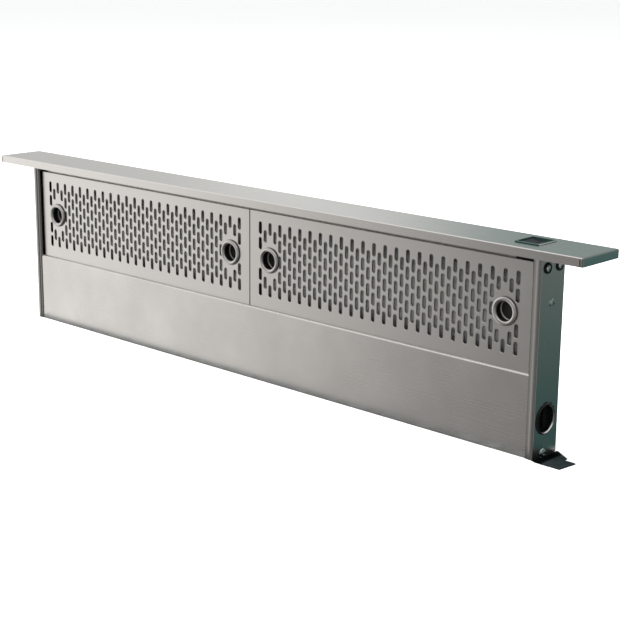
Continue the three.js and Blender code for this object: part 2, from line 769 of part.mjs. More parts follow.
function makePan() {
  const y = HOUSING_Y - GAP;
  const top = HOUSING_BOTTOM + PAN_EDGE;
  const section = folded([[-y, top], [-y, HOUSING_BOTTOM], [y, HOUSING_BOTTOM], [y, top]]);
  const half = HOUSING_X + SHEET;
  add('bottom_pan', alongX(section, -half, half), galvanised());
}

function makeDuct() {
  const w = DUCT_W / 2;
  const h = DUCT_H / 2;
  const t = COLLAR_WALL;
  const flange = rectangle(-w - COLLAR_FLANGE, w + COLLAR_FLANGE, -h - COLLAR_FLANGE, h + COLLAR_FLANGE);
  flange.holes.push(rectangle(-w + t, w - t, -h + t, h - t));
  const tube = rectangle(-w, w, -h, h);
  tube.holes.push(rectangle(-w + t, w - t, -h + t, h - t));
  const face = FRONT_FACE - GAP;
  const collar = join(alongY(flange, face - t, face), alongY(tube, face - DUCT_REACH, face - t / 2));
  const pinY = face - FLAP_Y;
  const knuckle = FLAP_PIN_D / 2 + GAP + t;
  const pinZ = h - t - knuckle - FLAP_GAP / 2;
  const pin = (d, x) => turned(rodProfile(d / 2, -x, x), X, 16).translate(0, pinY, pinZ);
  const place = (g) => g.translate(DUCT_X, 0, DUCT_Z);
  add('duct_collar', place(cut(collar, pin(FLAP_PIN_D + 2 * GAP, w + SHEET))), galvanised());
  add('flap_pin', place(pin(FLAP_PIN_D, w)), zinc());

  const x = w - t - FLAP_GAP;
  const leaf = box(-x, x, pinY - t / 2, pinY + t / 2, -h + t + FLAP_GAP, pinZ - FLAP_PIN_D / 2 - GAP - t / 2);
  const sleeve = turned(ringProfile(FLAP_PIN_D / 2 + GAP, knuckle, -x, x), X, 16).translate(0, pinY, pinZ);
  add('backdraft_flap', place(join(leaf, sleeve)), galvanised());
}

function makeGuideRails() {
  const inner = GUIDE_X - GUIDE_D;
  const half = GUIDE_W / 2;
  const section = folded([[inner, -half], [GUIDE_X, -half], [GUIDE_X, half], [inner, half]]);
  const rail = alongZ(section, HOUSING_BOTTOM + SHEET + GAP, COUNTER_Z - GUIDE_TOP);
  add('guide_rail_left', mirrorX(rail), zinc());
  add('guide_rail_right', rail, zinc());
}

function makeLiftDrive() {
  const top = GEARBOX_Z;
  const bottom = top - GEARBOX_H;
  const shaft = LEAD_SHANK_D / 2 + GAP;
  const shaftHole = turned(rodProfile(shaft, bottom + SHEET, top + 4 * BRACKET_T)).translate(0, LEAD_Y, 0);
  const w = GEARBOX_W / 2;
  const gearbox = roundedBlock(w, w, GEARBOX_CORNER, bottom, top).translate(0, GEARBOX_Y, 0);
  add('gearbox', cut(gearbox, shaftHole), darkSteel());

  const r = MOTOR_D / 2;
  const end = bottom - GAP;
  const motor = turned([
    [0, end - MOTOR_H],
    [MOTOR_BOSS_D / 2, end - MOTOR_H],
    [MOTOR_BOSS_D / 2, end - MOTOR_H + MOTOR_BOSS_H],
    [r - MOTOR_CHAMFER, end - MOTOR_H + MOTOR_BOSS_H],
    [r, end - MOTOR_H + MOTOR_BOSS_H + MOTOR_CHAMFER],
    [r, end],
    [0, end],
  ]);
  add('lift_motor', motor.translate(0, GEARBOX_Y, 0), zinc());

  const seat = top + GAP;
  const back = HOUSING_Y - GAP;
  const angle = folded([
    [GEARBOX_Y - w, seat],
    [back, seat],
    [back, seat + BRACKET_UP],
  ], BRACKET_T, BRACKET_BEND_R);
  const bracket = alongX(angle, -w, w);
  add('motor_bracket', cut(bracket, shaftHole), galvanised());

  const collarZ = seat + BRACKET_T + GAP;
  const collar = turned(ringProfile(shaft, COLLAR_D / 2, collarZ, collarZ + COLLAR_H));
  add('shaft_collar', collar.translate(0, LEAD_Y, 0), zinc());

  const thread = collarZ + COLLAR_H + GAP;
  const lead = turned([
    [0, bottom + 2 * SHEET],
    [LEAD_SHANK_D / 2, bottom + 2 * SHEET],
    [LEAD_SHANK_D / 2, thread],
    [LEAD_D / 2, thread],
    [LEAD_D / 2, COUNTER_Z - LEAD_TOP - LEAD_CHAMFER],
    [LEAD_D / 2 - LEAD_CHAMFER, COUNTER_Z - LEAD_TOP],
    [0, COUNTER_Z - LEAD_TOP],
  ]);
  add('lead_screw', lead.translate(0, LEAD_Y, 0), zinc());
}

// An upright block with round corners about the origin.
function roundedBlock(halfX, halfY, r, z0, z1) {
  const shape = new THREE.Shape();
  shape.absarc(halfX - r, -halfY + r, r, -Math.PI / 2, 0, false);
  shape.absarc(halfX - r, halfY - r, r, 0, Math.PI / 2, false);
  shape.absarc(-halfX + r, halfY - r, r, Math.PI / 2, Math.PI, false);
  shape.absarc(-halfX + r, -halfY + r, r, Math.PI, 1.5 * Math.PI, false);
  return alongZ(shape, z0, z1);
}

function makeLimitSwitches() {
  const wall = -HOUSING_X + GAP;
  const places = { upper: COUNTER_Z - LIMIT_UPPER, lower: COUNTER_Z - LIMIT_LOWER };
  for (const [name, top] of Object.entries(places)) {
    const body = box(wall, wall + LIMIT_D, -LIMIT_W / 2, LIMIT_W / 2, top - LIMIT_H, top);
    add(`limit_switch_${name}`, body.translate(0, LIMIT_Y, 0), blackPlastic());
  }
}

function makeJunctionBox() {
  const face = FRONT_FACE - GAP;
  const w = BOX_W / 2;
  const h = BOX_H / 2;
  const outside = box(-w, w, face - BOX_D, face, -h, h);
  const inside = box(-w + SHEET, w - SHEET, face - BOX_D - SHEET, face - SHEET, -h + SHEET, h - SHEET);
  const wire = turned(rodProfile(WIRE_HOLE_D / 2, face - 2 * SHEET, face + SHEET), Y, 16);
  const glandY = face - BOX_D / 2;
  const glandHole = turned(rodProfile(GLAND_THREAD_D / 2 + GAP, w - 2 * SHEET, w + SHEET), X, 16);
  glandHole.translate(0, glandY, 0);
  const place = (g) => g.translate(BOX_X, 0, BOX_Z + h);
  add('junction_box', place(cut(outside, inside, wire, glandHole)), galvanised());

  const lidFace = face - BOX_D - GAP;
  const lid = box(-w, w, lidFace - LID_T, lidFace, -h, h);
  add('junction_box_lid', place(lid), galvanised());

  const bore = GLAND_BORE / 2;
  const seat = w + GAP;
  const nutStart = seat + GLAND_BODY_L + GLAND_STEP_L;
  const tip = nutStart + GLAND_NUT_L + GLAND_TIP_L;
  const gland = turned([
    [bore, w - SHEET - GLAND_TAIL],
    [GLAND_THREAD_D / 2, w - SHEET - GLAND_TAIL],
    [GLAND_THREAD_D / 2, seat],
    [GLAND_D / 2, seat],
    [GLAND_D / 2, seat + GLAND_BODY_L],
    [GLAND_NUT_D / 2, nutStart],
    [GLAND_NUT_D / 2, nutStart + GLAND_NUT_L],
    [GLAND_TIP_D / 2, tip],
    [bore, tip],
    [bore, w - SHEET - GLAND_TAIL],
  ], X, 16);
  gland.translate(0, glandY, 0);
  add('cable_gland', place(gland), blackPlastic());
}

function makeCounterFlange() {
  const inner = X_END + BRACKET_CLEAR;
  const outer = X_END + BRACKET_X;
  const notch = inner + BRACKET_NECK;
  const plan = new THREE.Shape();
  plan.moveTo(inner, -BRACKET_Y).lineTo(outer, -BRACKET_Y);
  plan.lineTo(outer + BRACKET_SKEW, 0).lineTo(notch + BRACKET_NOTCH_SKEW, 0);
  plan.lineTo(notch, BRACKET_NOTCH_Y).lineTo(inner, BRACKET_NOTCH_Y).closePath();
  const legX = HOUSING_X - GAP;
  const step = HOUSING_X + SHEET + BRACKET_RELIEF;
  const seat = COUNTER_Z + BRACKET_RELIEF;
  const relief = box(inner - SHEET, step, -2 * BRACKET_Y, BRACKET_Y, COUNTER_Z - SHEET, seat);
  const plate = cut(alongZ(plan, COUNTER_Z, COUNTER_Z + FLANGE_T), relief);
  const [legFoot, legTop] = [COUNTER_Z - BRACKET_LEG, COUNTER_Z + FLANGE_T / 2];
  const leg = box(legX - SHEET, legX, -BRACKET_LEG_W / 2, BRACKET_NOTCH_Y, legFoot, legTop);
  add('counter_flange', join(plate, leg), darkSteel());
}

function makeWipers() {
  const half = X_END - WIPER_END;
  const wall = HOUSING_Y - GAP;
  const top = HOUSING_Z - WIPER_DROP;
  const strip = box(-half, half, -wall, -wall + WIPER_T, top - WIPER_H, top);
  add('wiper_front', strip, rubber());
  add('wiper_back', strip.clone().rotateZ(Math.PI), rubber());
}

function makeLegs() {
  const x = HOUSING_X + SHEET + GAP;
  const strap = new THREE.Shape();
  const w = LEG_W / 2;
  const c = LEG_CORNER;
  strap.moveTo(-w, 0).lineTo(w, 0).lineTo(w, LEG_H - c).lineTo(w - c, LEG_H).lineTo(-w + c, LEG_H);
  strap.lineTo(-w, LEG_H - c).closePath();
  const slotR = LEG_SLOT_W / 2;
  const slot = new THREE.Path();
  slot.absarc(0, LEG_SLOT_Z + LEG_SLOT_L, slotR, 0, Math.PI, false);
  slot.absarc(0, LEG_SLOT_Z, slotR, Math.PI, 2 * Math.PI, false);
  strap.holes.push(slot);
  const upright = alongX(strap, x, x + LEG_T);
  const foot = rectangle(x + LEG_T - FOOT_W, x + LEG_T, -FOOT_L / 2, FOOT_L / 2);
  const hole = FOOT_L / 2 - FOOT_HOLE_END;
  for (const y of [-hole, hole]) foot.holes.push(circleHole(x + LEG_T - FOOT_W / 2, y, LEG_SLOT_W));
  const leg = join(upright, alongZ(foot, 0, LEG_T));
  add('support_leg_left', mirrorX(leg), galvanised());
  add('support_leg_right', leg, galvanised());
}

makeCap();
makeEndPosts();
makePanels();
makeTopRail();
makeMullion();
makeCrossbar();
makeNut();
makeShoes();
makeCassettes();
makeSwitch();
makeKnob();
makeHousingWalls();
makePan();
makeDuct();
makeGuideRails();
makeLiftDrive();
makeLimitSwitches();
makeJunctionBox();
makeCounterFlange();
makeWipers();
makeLegs();

export default vent;
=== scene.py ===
"""Looks of the pop-up downdraft vent: brushed-steel chimney with two slotted grilles, above its housing."""

import json
import math
from contextlib import contextmanager

import bmesh
import bpy
from mathutils import Matrix, Vector

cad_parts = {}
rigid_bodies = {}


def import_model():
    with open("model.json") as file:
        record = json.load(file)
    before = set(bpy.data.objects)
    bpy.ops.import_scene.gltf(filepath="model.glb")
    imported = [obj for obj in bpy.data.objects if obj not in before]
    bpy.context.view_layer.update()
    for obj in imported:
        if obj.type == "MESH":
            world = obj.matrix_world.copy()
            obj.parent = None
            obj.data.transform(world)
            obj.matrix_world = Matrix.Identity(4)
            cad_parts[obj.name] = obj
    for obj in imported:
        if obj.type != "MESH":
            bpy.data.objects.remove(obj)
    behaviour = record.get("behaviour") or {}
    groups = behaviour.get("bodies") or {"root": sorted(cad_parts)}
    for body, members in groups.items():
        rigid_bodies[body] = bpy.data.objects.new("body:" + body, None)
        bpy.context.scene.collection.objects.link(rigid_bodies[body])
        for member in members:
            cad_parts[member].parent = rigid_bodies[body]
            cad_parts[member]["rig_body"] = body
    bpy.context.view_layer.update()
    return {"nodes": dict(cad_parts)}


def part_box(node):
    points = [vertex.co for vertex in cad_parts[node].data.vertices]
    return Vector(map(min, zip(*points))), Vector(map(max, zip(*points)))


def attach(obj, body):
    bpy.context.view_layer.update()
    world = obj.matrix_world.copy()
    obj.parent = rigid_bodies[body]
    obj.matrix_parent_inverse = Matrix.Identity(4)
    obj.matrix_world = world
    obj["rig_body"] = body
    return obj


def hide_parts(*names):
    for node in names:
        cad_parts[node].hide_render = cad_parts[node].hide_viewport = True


bl_info = {
    "name": "Downdraft Vent Looks",
    "version": (1, 0, 0),
    "blender": (4, 5, 0),
    "location": "3D View > Sidebar > Vent",
    "description": "Dresses the solids of a pop-up downdraft vent with finer pieces, finishes and a stage",
    "category": "Object",
}

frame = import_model()
NODES = frame["nodes"]

# All in metres. Places nearer than CLOSE are taken as one, and a cutting block runs PAST what it cuts.
MM = 0.001
CLOSE = 1e-5
PAST = 0.01
COUNTER_Z = 0.350
CHIMNEY_LOW, CHIMNEY_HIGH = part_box("side_channel_right")
CAP_LOW, CAP_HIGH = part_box("cap")
SIDES = (("right", 1), ("left", -1))


# ---------------------------------------------------------------- shader maths


def wire(tree, value, socket):
    """Joins a value or a socket to an input. A colour of three parts is made opaque."""
    if isinstance(value, Sock):
        tree.links.new(value.socket, socket)
        return
    if hasattr(value, "__len__") and len(value) < len(socket.default_value):
        value = (*value, 1.0)
    socket.default_value = value


class Sock:
    """A socket that adds Math nodes when it is used in an expression."""

    def __init__(self, tree, socket):
        self.tree = tree
        self.socket = socket

    def math(self, operation, other):
        return Nodes(self.tree).make("Math", {"operation": operation}, {0: self, 1: other})

    def __add__(self, other):
        return self.math("ADD", other)

    __radd__ = __add__

    def __sub__(self, other):
        return self.math("SUBTRACT", other)

    def __rsub__(self, other):
        return Nodes(self.tree).make("Math", {"operation": "SUBTRACT"}, {0: other, 1: self})

    def __mul__(self, other):
        return self.math("MULTIPLY", other)

    __rmul__ = __mul__

    def __neg__(self):
        return self * -1.0

    def __truediv__(self, other):
        return self.math("DIVIDE", other)

    def ramp(self, low, high):
        """The value eased from 0 at low to 1 at high."""
        inputs = {"Value": self, "From Min": low, "From Max": high}
        return Nodes(self.tree).make("MapRange", {"interpolation_type": "SMOOTHSTEP"}, inputs)

    def axis(self, index):
        """One part of a vector."""
        return Nodes(self.tree).make("SeparateXYZ", {}, {0: self}, index)


class Nodes:
    """Builds the nodes of one tree."""

    def __init__(self, tree):
        self.tree = tree

    def make(self, kind, settings=None, inputs=None, output=0):
        """A node of the kind, with its settings set first and its inputs given or linked."""
        made = self.tree.nodes.new("ShaderNode" + kind)
        for key, value in (settings or {}).items():
            setattr(made, key, value)
        for key, value in (inputs or {}).items():
            wire(self.tree, value, made.inputs[key])
        return Sock(self.tree, made.outputs[output])

    def mix(self, factor, a, b):
        """Two colours mixed."""
        return self.make("Mix", {"data_type": "RGBA"}, {0: factor, 6: a, 7: b}, 2)

    def place(self, scale=(1, 1, 1), turn=(0, 0, 0)):
        """Object coordinates in metres, scaled and turned."""
        source = self.make("TexCoord", output=3)
        return self.make("Mapping", {}, {"Vector": source, "Scale": scale, "Rotation": turn})

    def noise(self, scale, detail=2.0, rough=0.5, place=None):
        inputs = {"Vector": place or self.place(), "Scale": scale, "Detail": detail, "Roughness": rough}
        return self.make("TexNoise", {}, inputs)

    def bump(self, height, distance, strength):
        return self.make("Bump", {}, {"Height": height, "Distance": distance, "Strength": strength})

    def surface(self, **values):
        """Joins values to the inputs of the material's surface."""
        shader = next(n for n in self.tree.nodes if n.bl_idname == "ShaderNodeBsdfPrincipled")
        for key, value in values.items():
            wire(self.tree, value, shader.inputs[key.replace("_", " ")])


def tint(colour, times, plus=0.0):
    """The colour made darker or brighter."""
    return [min(1.0, c * times + plus) for c in colour]


def shared_finish(build):
    """Makes a finish the first time that its name is asked for, and gives the same one after that."""

    def named(name, *looks, **more):
        material = bpy.data.materials.get(name)
        if material is None:
            material = bpy.data.materials.new(name)
            material.use_nodes = True
            build(Nodes(material.node_tree), *looks, **more)
        return material

    return named


# ---------------------------------------------------------------- finishes


@shared_finish
def brushed_steel(n, along, colour, rough, blotch=0.05):
    """Sheet steel brushed along X, Y or Z, with soft clouds in its sheen."""
    run, cross, darkest, brightest = 4.0, 2200.0, 0.7, 1.3
    scale = [run if axis == along else cross for axis in "XYZ"]
    hair = n.noise(1.0, detail=3.0, rough=0.6, place=n.place(scale))
    streak = n.noise(1.0, place=n.place([s * 0.18 for s in scale]))
    cloud = n.noise(13.0, detail=3.0, rough=0.55)
    smear = n.noise(26.0, place=n.place([0.35 if axis == along else 1.0 for axis in "XYZ"]))
    shade = 1.0 + (hair - 0.5) * 0.03 + (streak - 0.5) * 0.01 + (cloud - 0.5) * blotch
    n.surface(
        Base_Color=n.mix((shade - darkest) / (brightest - darkest), tint(colour, 0.55), tint(colour, 1.22)),
        Metallic=1.0,
        Roughness=rough + (smear - 0.5) * 0.04 + (hair - 0.5) * 0.03,
        Normal=n.bump(hair, distance=0.00001, strength=0.04),
    )


@shared_finish
def satin_steel(n, colour, rough):
    """Turned or pressed metal with a fine grain and no direction."""
    grain = n.noise(1400.0, detail=2.0, rough=0.6)
    cloud = n.noise(60.0)
    n.surface(
        Base_Color=n.mix(cloud.ramp(0.3, 0.7), tint(colour, 0.88), colour),
        Metallic=1.0,
        Roughness=rough + (cloud - 0.5) * 0.12,
        Normal=n.bump(grain, distance=0.00005, strength=0.25),
    )


@shared_finish
def galvanised(n, colour):
    """Zinc-dipped sheet with its crystals."""
    flake, fleck = (
        n.make("RGBToBW", {}, {0: n.make("TexVoronoi", {}, {"Vector": n.place(), "Scale": scale}, 1)})
        for scale in (70.0, 170.0)
    )
    grey = flake * 0.6 + fleck * 0.4
    cloud = n.noise(14.0, detail=3.0, rough=0.6)
    n.surface(
        Base_Color=n.mix(grey.ramp(0.1, 0.9), tint(colour, 0.72), tint(colour, 1.15)),
        Metallic=0.9,
        Roughness=0.38 + grey * 0.2 + (cloud - 0.5) * 0.1,
        Normal=n.bump(cloud, distance=0.0004, strength=0.2),
    )


@shared_finish
def filter_mesh(n, colour):
    """Layers of stretched metal foil, as open diamonds with dark gaps."""
    cell = n.make(
        "TexVoronoi", {"feature": "DISTANCE_TO_EDGE"}, {"Vector": n.place(), "Scale": 620.0}
    )
    first, second = (
        n.make("TexWave", {"bands_direction": "X"},
               {"Vector": n.place(turn=(0, math.radians(slant), 0)), "Scale": 190.0, "Distortion": 1.2})
        for slant in (38, -38)
    )
    strand = first.math("MAXIMUM", second)
    mask = (strand * 0.65 + cell.ramp(0.0, 0.25) * 0.35).ramp(0.35, 0.9)
    n.surface(
        Base_Color=n.mix(mask, tint(colour, 0.25), tint(colour, 1.2)),
        Metallic=0.55,
        Roughness=0.42 + n.noise(30.0) * 0.2,
        Normal=n.bump(mask, distance=0.0006, strength=0.8),
    )


@shared_finish
def moulded_plastic(n, colour, rough, gloss=0.5):
    """Plastic with a fine spark-eroded skin, a little uneven in tone."""
    skin = n.noise(1800.0, detail=2.0, rough=0.6)
    cloud = n.noise(45.0)
    n.surface(
        Base_Color=n.mix(cloud.ramp(0.25, 0.75), tint(colour, 0.85), tint(colour, 1.12, 0.002)),
        Metallic=0.0,
        Specular_IOR_Level=gloss,
        Roughness=rough + (cloud - 0.5) * 0.14,
        Normal=n.bump(skin, distance=0.00008, strength=0.35),
    )


@shared_finish
def plate_paint(n, colour):
    """Thin dull paint over steel plate, paler where it is rubbed, with a painted shadow that turns it nearly
    black beside the chimney.
    """
    shadow_until, lit_from = 0.4150, 0.4180
    rub = n.noise(70.0, detail=4.0, rough=0.6)
    skin = n.noise(1100.0, detail=2.0, rough=0.6)
    # Painted shadow of the chimney: nearly black up to the first x, plain paint from the second.
    out_of_shadow = n.place().axis(0).ramp(shadow_until, lit_from)
    tone = n.mix(rub.ramp(0.4, 0.75), colour, tint(colour, 1.5))
    n.surface(
        Base_Color=n.mix(out_of_shadow, tint(colour, 0.1), tone),
        Metallic=0.0,
        Specular_IOR_Level=0.0,
        Roughness=0.7 + (rub - 0.5) * 0.2,
        Normal=n.bump(skin, distance=0.00006, strength=0.3),
    )


@shared_finish
def rubber(n, colour):
    """Matt rubber with a little dust on it."""
    skin = n.noise(900.0, detail=3.0, rough=0.6)
    dust = n.noise(40.0, detail=3.0, rough=0.6)
    n.surface(
        Base_Color=n.mix(dust.ramp(0.45, 0.8), colour, tint(colour, 1.5, 0.012)),
        Metallic=0.0,
        Roughness=0.72 + dust * 0.18,
        Normal=n.bump(skin, distance=0.0001, strength=0.4),
    )


@shared_finish
def floor_paint(n, colour):
    """Pale paint, very slightly uneven."""
    n.surface(
        Base_Color=n.mix(n.noise(1.3), tint(colour, 0.985), colour),
        Metallic=0.0,
        Roughness=0.9,
    )


# ---------------------------------------------------------------- sizes and colours a user may change


def colour_of(name, description, default):
    return bpy.props.FloatVectorProperty(
        name=name, description=description, subtype="COLOR", size=3, default=default, min=0.0, max=1.0
    )


def length_of(name, description, default, low, high):
    return bpy.props.FloatProperty(
        name=name, description=description, unit="LENGTH", default=default, min=low, max=high
    )


def angle_of(name, description, degrees):
    return bpy.props.FloatProperty(
        name=name, description=description, subtype="ANGLE", default=math.radians(degrees)
    )


class VENT_PG_finish(bpy.types.PropertyGroup):
    steel: colour_of("Steel", "Colour of the brushed sheet", (0.66, 0.645, 0.625))
    steel_roughness: bpy.props.FloatProperty(
        name="Steel roughness", description="How matt the brushed sheet is", subtype="FACTOR",
        default=0.27, min=0.1, max=0.8,
    )
    galvanised: colour_of("Galvanised", "Colour of the housing's zinc-dipped sheet", (0.47, 0.49, 0.50))
    mesh: colour_of("Filter mesh", "Colour of the filter's foil", (0.30, 0.30, 0.29))
    zinc: colour_of("Zinc plate", "Colour of the plated hardware", (0.60, 0.60, 0.58))
    dark_steel: colour_of("Dark steel", "Colour of the dark hardware", (0.030, 0.040, 0.042))
    black_plastic: colour_of("Black plastic", "Colour of the switch and the knob", (0.010, 0.011, 0.012))
    white_plastic: colour_of("White plastic", "Colour of the guide shoes", (0.62, 0.62, 0.58))
    bronze: colour_of("Bronze", "Colour of the drive nut", (0.50, 0.33, 0.16))


class VENT_PG_sheet(bpy.types.PropertyGroup):
    cap_edge: length_of("Cap edge", "Radius of the folds along the cap's edges", 0.0016, 0.0005, 0.003)
    cap_seam: length_of("Cap seam", "Corner seam's distance from the cap's end", 0.0035, 0.002, 0.02)
    strip: length_of(
        "Post strip", "Width of the raised strip on the front of an end post", 0.0054, 0.003, 0.008
    )


class VENT_PG_grille(bpy.types.PropertyGroup):
    slot_width: length_of("Slot width", "Width of a slot", 0.0047, 0.001, 0.007)
    slot_length: length_of(
        "Slot length", "Length of a slot with its round ends", 0.0143, 0.004, 0.016
    )
    flare: length_of("Slot flare", "Width of the soft edge round a slot", 0.00025, 0.0, 0.001)
    sheet: length_of("Sheet", "Thickness of the grilles' sheet", 0.0006, 0.0004, 0.0012)
    upstand: length_of(
        "Upstand", "How far a grille's sheet stands up in front of the top rail", 0.0011, 0.0, 0.003
    )
    pad_margin: length_of(
        "Pad margin", "Width of the deeper margin round a filter's foil", 0.028, 0.005, 0.04
    )
    ring_bead: length_of(
        "Ring bead", "Width of the rounded rim of a finger ring", 0.0050, 0.003, 0.006
    )


class VENT_PG_stage(bpy.types.PropertyGroup):
    focal: bpy.props.FloatProperty(
        name="Focal length", description="Lens of the camera, in millimetres for a 36 mm sensor",
        default=84.56, min=20.0, max=300.0,
    )
    azimuth: angle_of("Azimuth", "Camera's bearing round the vent", 43.101)
    elevation: angle_of("Elevation", "Camera's height above the horizon", 14.257)
    roll: angle_of("Roll", "Camera's turn about its own line of sight", 0.514)
    distance: bpy.props.FloatProperty(
        name="Distance", description="Camera to its target", unit="LENGTH", default=1.6176, min=0.2,
    )
    target: bpy.props.FloatVectorProperty(
        name="Target", description="Point the camera looks at", unit="LENGTH", size=3,
        default=(0.10033, -0.021, 0.44947),
    )
    floor: colour_of("Floor", "Colour of the countertop that the vent rises from", (0.93, 0.93, 0.93))


# ---------------------------------------------------------------- modelling helpers


def deselect():
    active = bpy.context.view_layer.objects.active
    if active and active.mode != "OBJECT":
        bpy.ops.object.mode_set(mode="OBJECT")
    bpy.ops.object.select_all(action="DESELECT")


def activate(piece):
    deselect()
    piece.select_set(True)
    bpy.context.view_layer.objects.active = piece


def rename(piece, name):
    piece.name = name
    piece.data.name = name
    return piece


def start(kind, name, **settings):
    """Adds a primitive and names it."""
    deselect()
    getattr(bpy.ops.mesh, f"primitive_{kind}_add")(**settings)
    return rename(bpy.context.view_layer.objects.active, name)


@contextmanager
def editing(piece):
    activate(piece)
    bpy.ops.object.mode_set(mode="EDIT")
    yield
    bpy.ops.object.mode_set(mode="OBJECT")


def pick(piece, mode, chosen):
    """In edit mode, selects the faces or the edges that pass the test."""
    bpy.ops.mesh.select_mode(type=mode)
    bpy.ops.mesh.select_all(action="DESELECT")
    mesh = bmesh.from_edit_mesh(piece.data)
    for item in mesh.faces if mode == "FACE" else mesh.edges:
        item.select = bool(chosen(item))
    mesh.select_flush_mode()
    bmesh.update_edit_mesh(piece.data)


def pick_faces(piece, test):
    """Selects the faces whose middle and normal pass the test."""
    pick(piece, "FACE", lambda face: test(face.calc_center_median(), face.normal))


def round_edges(piece, test, width, segments):
    """Rounds the edges whose middle and direction pass the test."""

    def chosen(edge):
        a, b = (end.co for end in edge.verts)
        return test((a + b) / 2, (b - a).normalized())

    pick(piece, "EDGE", chosen)
    bpy.ops.mesh.bevel(offset=width, segments=segments, affect="EDGES")


def settle(piece, smooth=None):
    """Puts the piece's place into its mesh, so that its object sits at the origin."""
    activate(piece)
    bpy.ops.object.transform_apply(location=True, rotation=True, scale=True)
    if smooth is not None:
        bpy.ops.object.shade_smooth_by_angle(angle=math.radians(smooth))
        modify(piece, "WEIGHTED_NORMAL", keep_sharp=True)
    return piece


def modify(piece, kind, **settings):
    """Adds a modifier, sets it and applies it."""
    activate(piece)
    made = piece.modifiers.new(kind.title(), kind)
    for key, value in settings.items():
        setattr(made, key, value)
    bpy.ops.object.modifier_apply(modifier=made.name)
    return piece


def combine(piece, operation, *tools):
    """Cuts the tools out of the piece or welds them to it, and removes them."""
    for tool in tools:
        modify(piece, "BOOLEAN", operation=operation, solver="EXACT", object=tool)
        bpy.data.objects.remove(tool)
    return piece


def carve(piece, *tools):
    return combine(piece, "DIFFERENCE", *tools)


def weld(piece, *tools):
    return combine(piece, "UNION", *tools)


def merge(name, *pieces):
    """Joins pieces into the first, under one name."""
    deselect()
    for piece in pieces:
        piece.select_set(True)
    bpy.context.view_layer.objects.active = pieces[0]
    if len(pieces) > 1:
        bpy.ops.object.join()
    return rename(pieces[0], name)


def twin(piece, name, move=(0, 0, 0), turn=Matrix()):
    """A copy with its own mesh, turned about the origin and moved."""
    made = piece.copy()
    made.data = piece.data.copy()
    bpy.context.scene.collection.objects.link(made)
    made.data.transform(Matrix.Translation(Vector(move)) @ turn)
    return rename(made, name)


def tidy_surface():
    """In edit mode, merges the doubles and turns every face outwards."""
    bpy.ops.mesh.select_all(action="SELECT")
    bpy.ops.mesh.remove_doubles(threshold=1e-6)
    bpy.ops.mesh.normals_make_consistent(inside=False)


def mirrored(piece, name):
    """The piece's twin on the other side of the middle."""
    made = twin(piece, name, turn=Matrix.Scale(-1, 4, Vector((1, 0, 0))))
    made.data.flip_normals()
    with editing(made):
        tidy_surface()
    return made


def trace(name, points):
    """A line of edges through the points, extruded one vertex at a time."""
    piece = settle(start("plane", name, size=0.001, location=points[0]))
    with editing(piece):
        bpy.ops.mesh.select_mode(type="VERT")
        bpy.ops.mesh.select_all(action="SELECT")
        bpy.ops.mesh.merge(type="CENTER")
        for here, there in zip(points, points[1:]):
            step = Vector(there) - Vector(here)
            bpy.ops.mesh.extrude_vertices_move(TRANSFORM_OT_translate={"value": step})
        bpy.ops.mesh.select_all(action="SELECT")
        bpy.ops.mesh.remove_doubles(threshold=1e-6)
    return settle(piece)


def spun(name, outline, centre, axis, steps=48, smooth=35):
    """A turned piece: pairs of radius and distance along X or Y, in millimetres, run round the axis."""
    along, out = Vector((axis == "X", axis == "Y", 0)), Vector((0, 0, 1))
    middle = Vector(centre)
    piece = trace(name, [middle + out * radius * MM + along * far * MM for radius, far in outline])
    with editing(piece):
        bpy.ops.mesh.select_all(action="SELECT")
        bpy.ops.mesh.spin(steps=steps, angle=2 * math.pi, center=middle, axis=along)
        tidy_surface()
    return settle(piece, smooth)


def drawn(name, outline, along, smooth=30):
    """A closed outline of points, filled and run along a direction, in metres."""
    piece = trace(name, list(outline) + [outline[0]])
    with editing(piece):
        bpy.ops.mesh.select_all(action="SELECT")
        bpy.ops.mesh.edge_face_add()
        bpy.ops.mesh.extrude_region_move(TRANSFORM_OT_translate={"value": along})
        bpy.ops.mesh.select_all(action="SELECT")
        bpy.ops.mesh.normals_make_consistent(inside=False)
    return settle(piece, smooth)


def block(name, low, high):
    """A box between two corners, in metres."""
    low, high = Vector(low), Vector(high)
    return settle(start("cube", name, size=1.0, location=(low + high) / 2, scale=high - low))


def rod(name, axis, middle, radius, depth, sides):
    """A round bar along X or Y, in metres."""
    turn = {"X": (0, math.pi / 2, 0), "Y": (math.pi / 2, 0, 0)}[axis]
    return settle(
        start("cylinder", name, vertices=sides, radius=radius, depth=depth, location=middle, rotation=turn)
    )


def arc(middle_u, middle_v, radius, first, last, steps):
    """Points on an arc, with angles in degrees."""
    return [
        (middle_u + radius * math.cos(math.radians(first + (last - first) * i / steps)),
         middle_v + radius * math.sin(math.radians(first + (last - first) * i / steps)))
        for i in range(steps + 1)
    ]


def sheet_outline(path, thickness, radius, steps=6):
    """Outline of a folded sheet, in millimetres: the sheet lies left of the path, its bends are round."""
    points = [Vector(point) for point in path]
    near, far = [], []
    for i, point in enumerate(points):
        before = (point - points[i - 1]).normalized() if i else None
        after = (points[i + 1] - point).normalized() if i < len(points) - 1 else None
        if before is None or after is None:
            way = after or before
            near.append(point)
            far.append(point + Vector((-way.y, way.x)) * thickness)
            continue
        turn = math.atan2(before.x * after.y - before.y * after.x, before.dot(after))
        hand = 1 if turn > 0 else -1
        bend = radius if turn > 0 else radius - thickness
        side = Vector((-before.y, before.x)) * hand
        centre = point - before * bend * math.tan(abs(turn) / 2) + side * bend
        for k in range(steps + 1):
            spoke = Matrix.Rotation(turn * k / steps, 2) @ -side
            near.append(centre + spoke * bend)
            far.append(centre + spoke * (bend - hand * thickness))
    return [tuple(point) for point in near + far[::-1]]


def centre_of(name):
    low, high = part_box(name)
    return (low + high) / 2


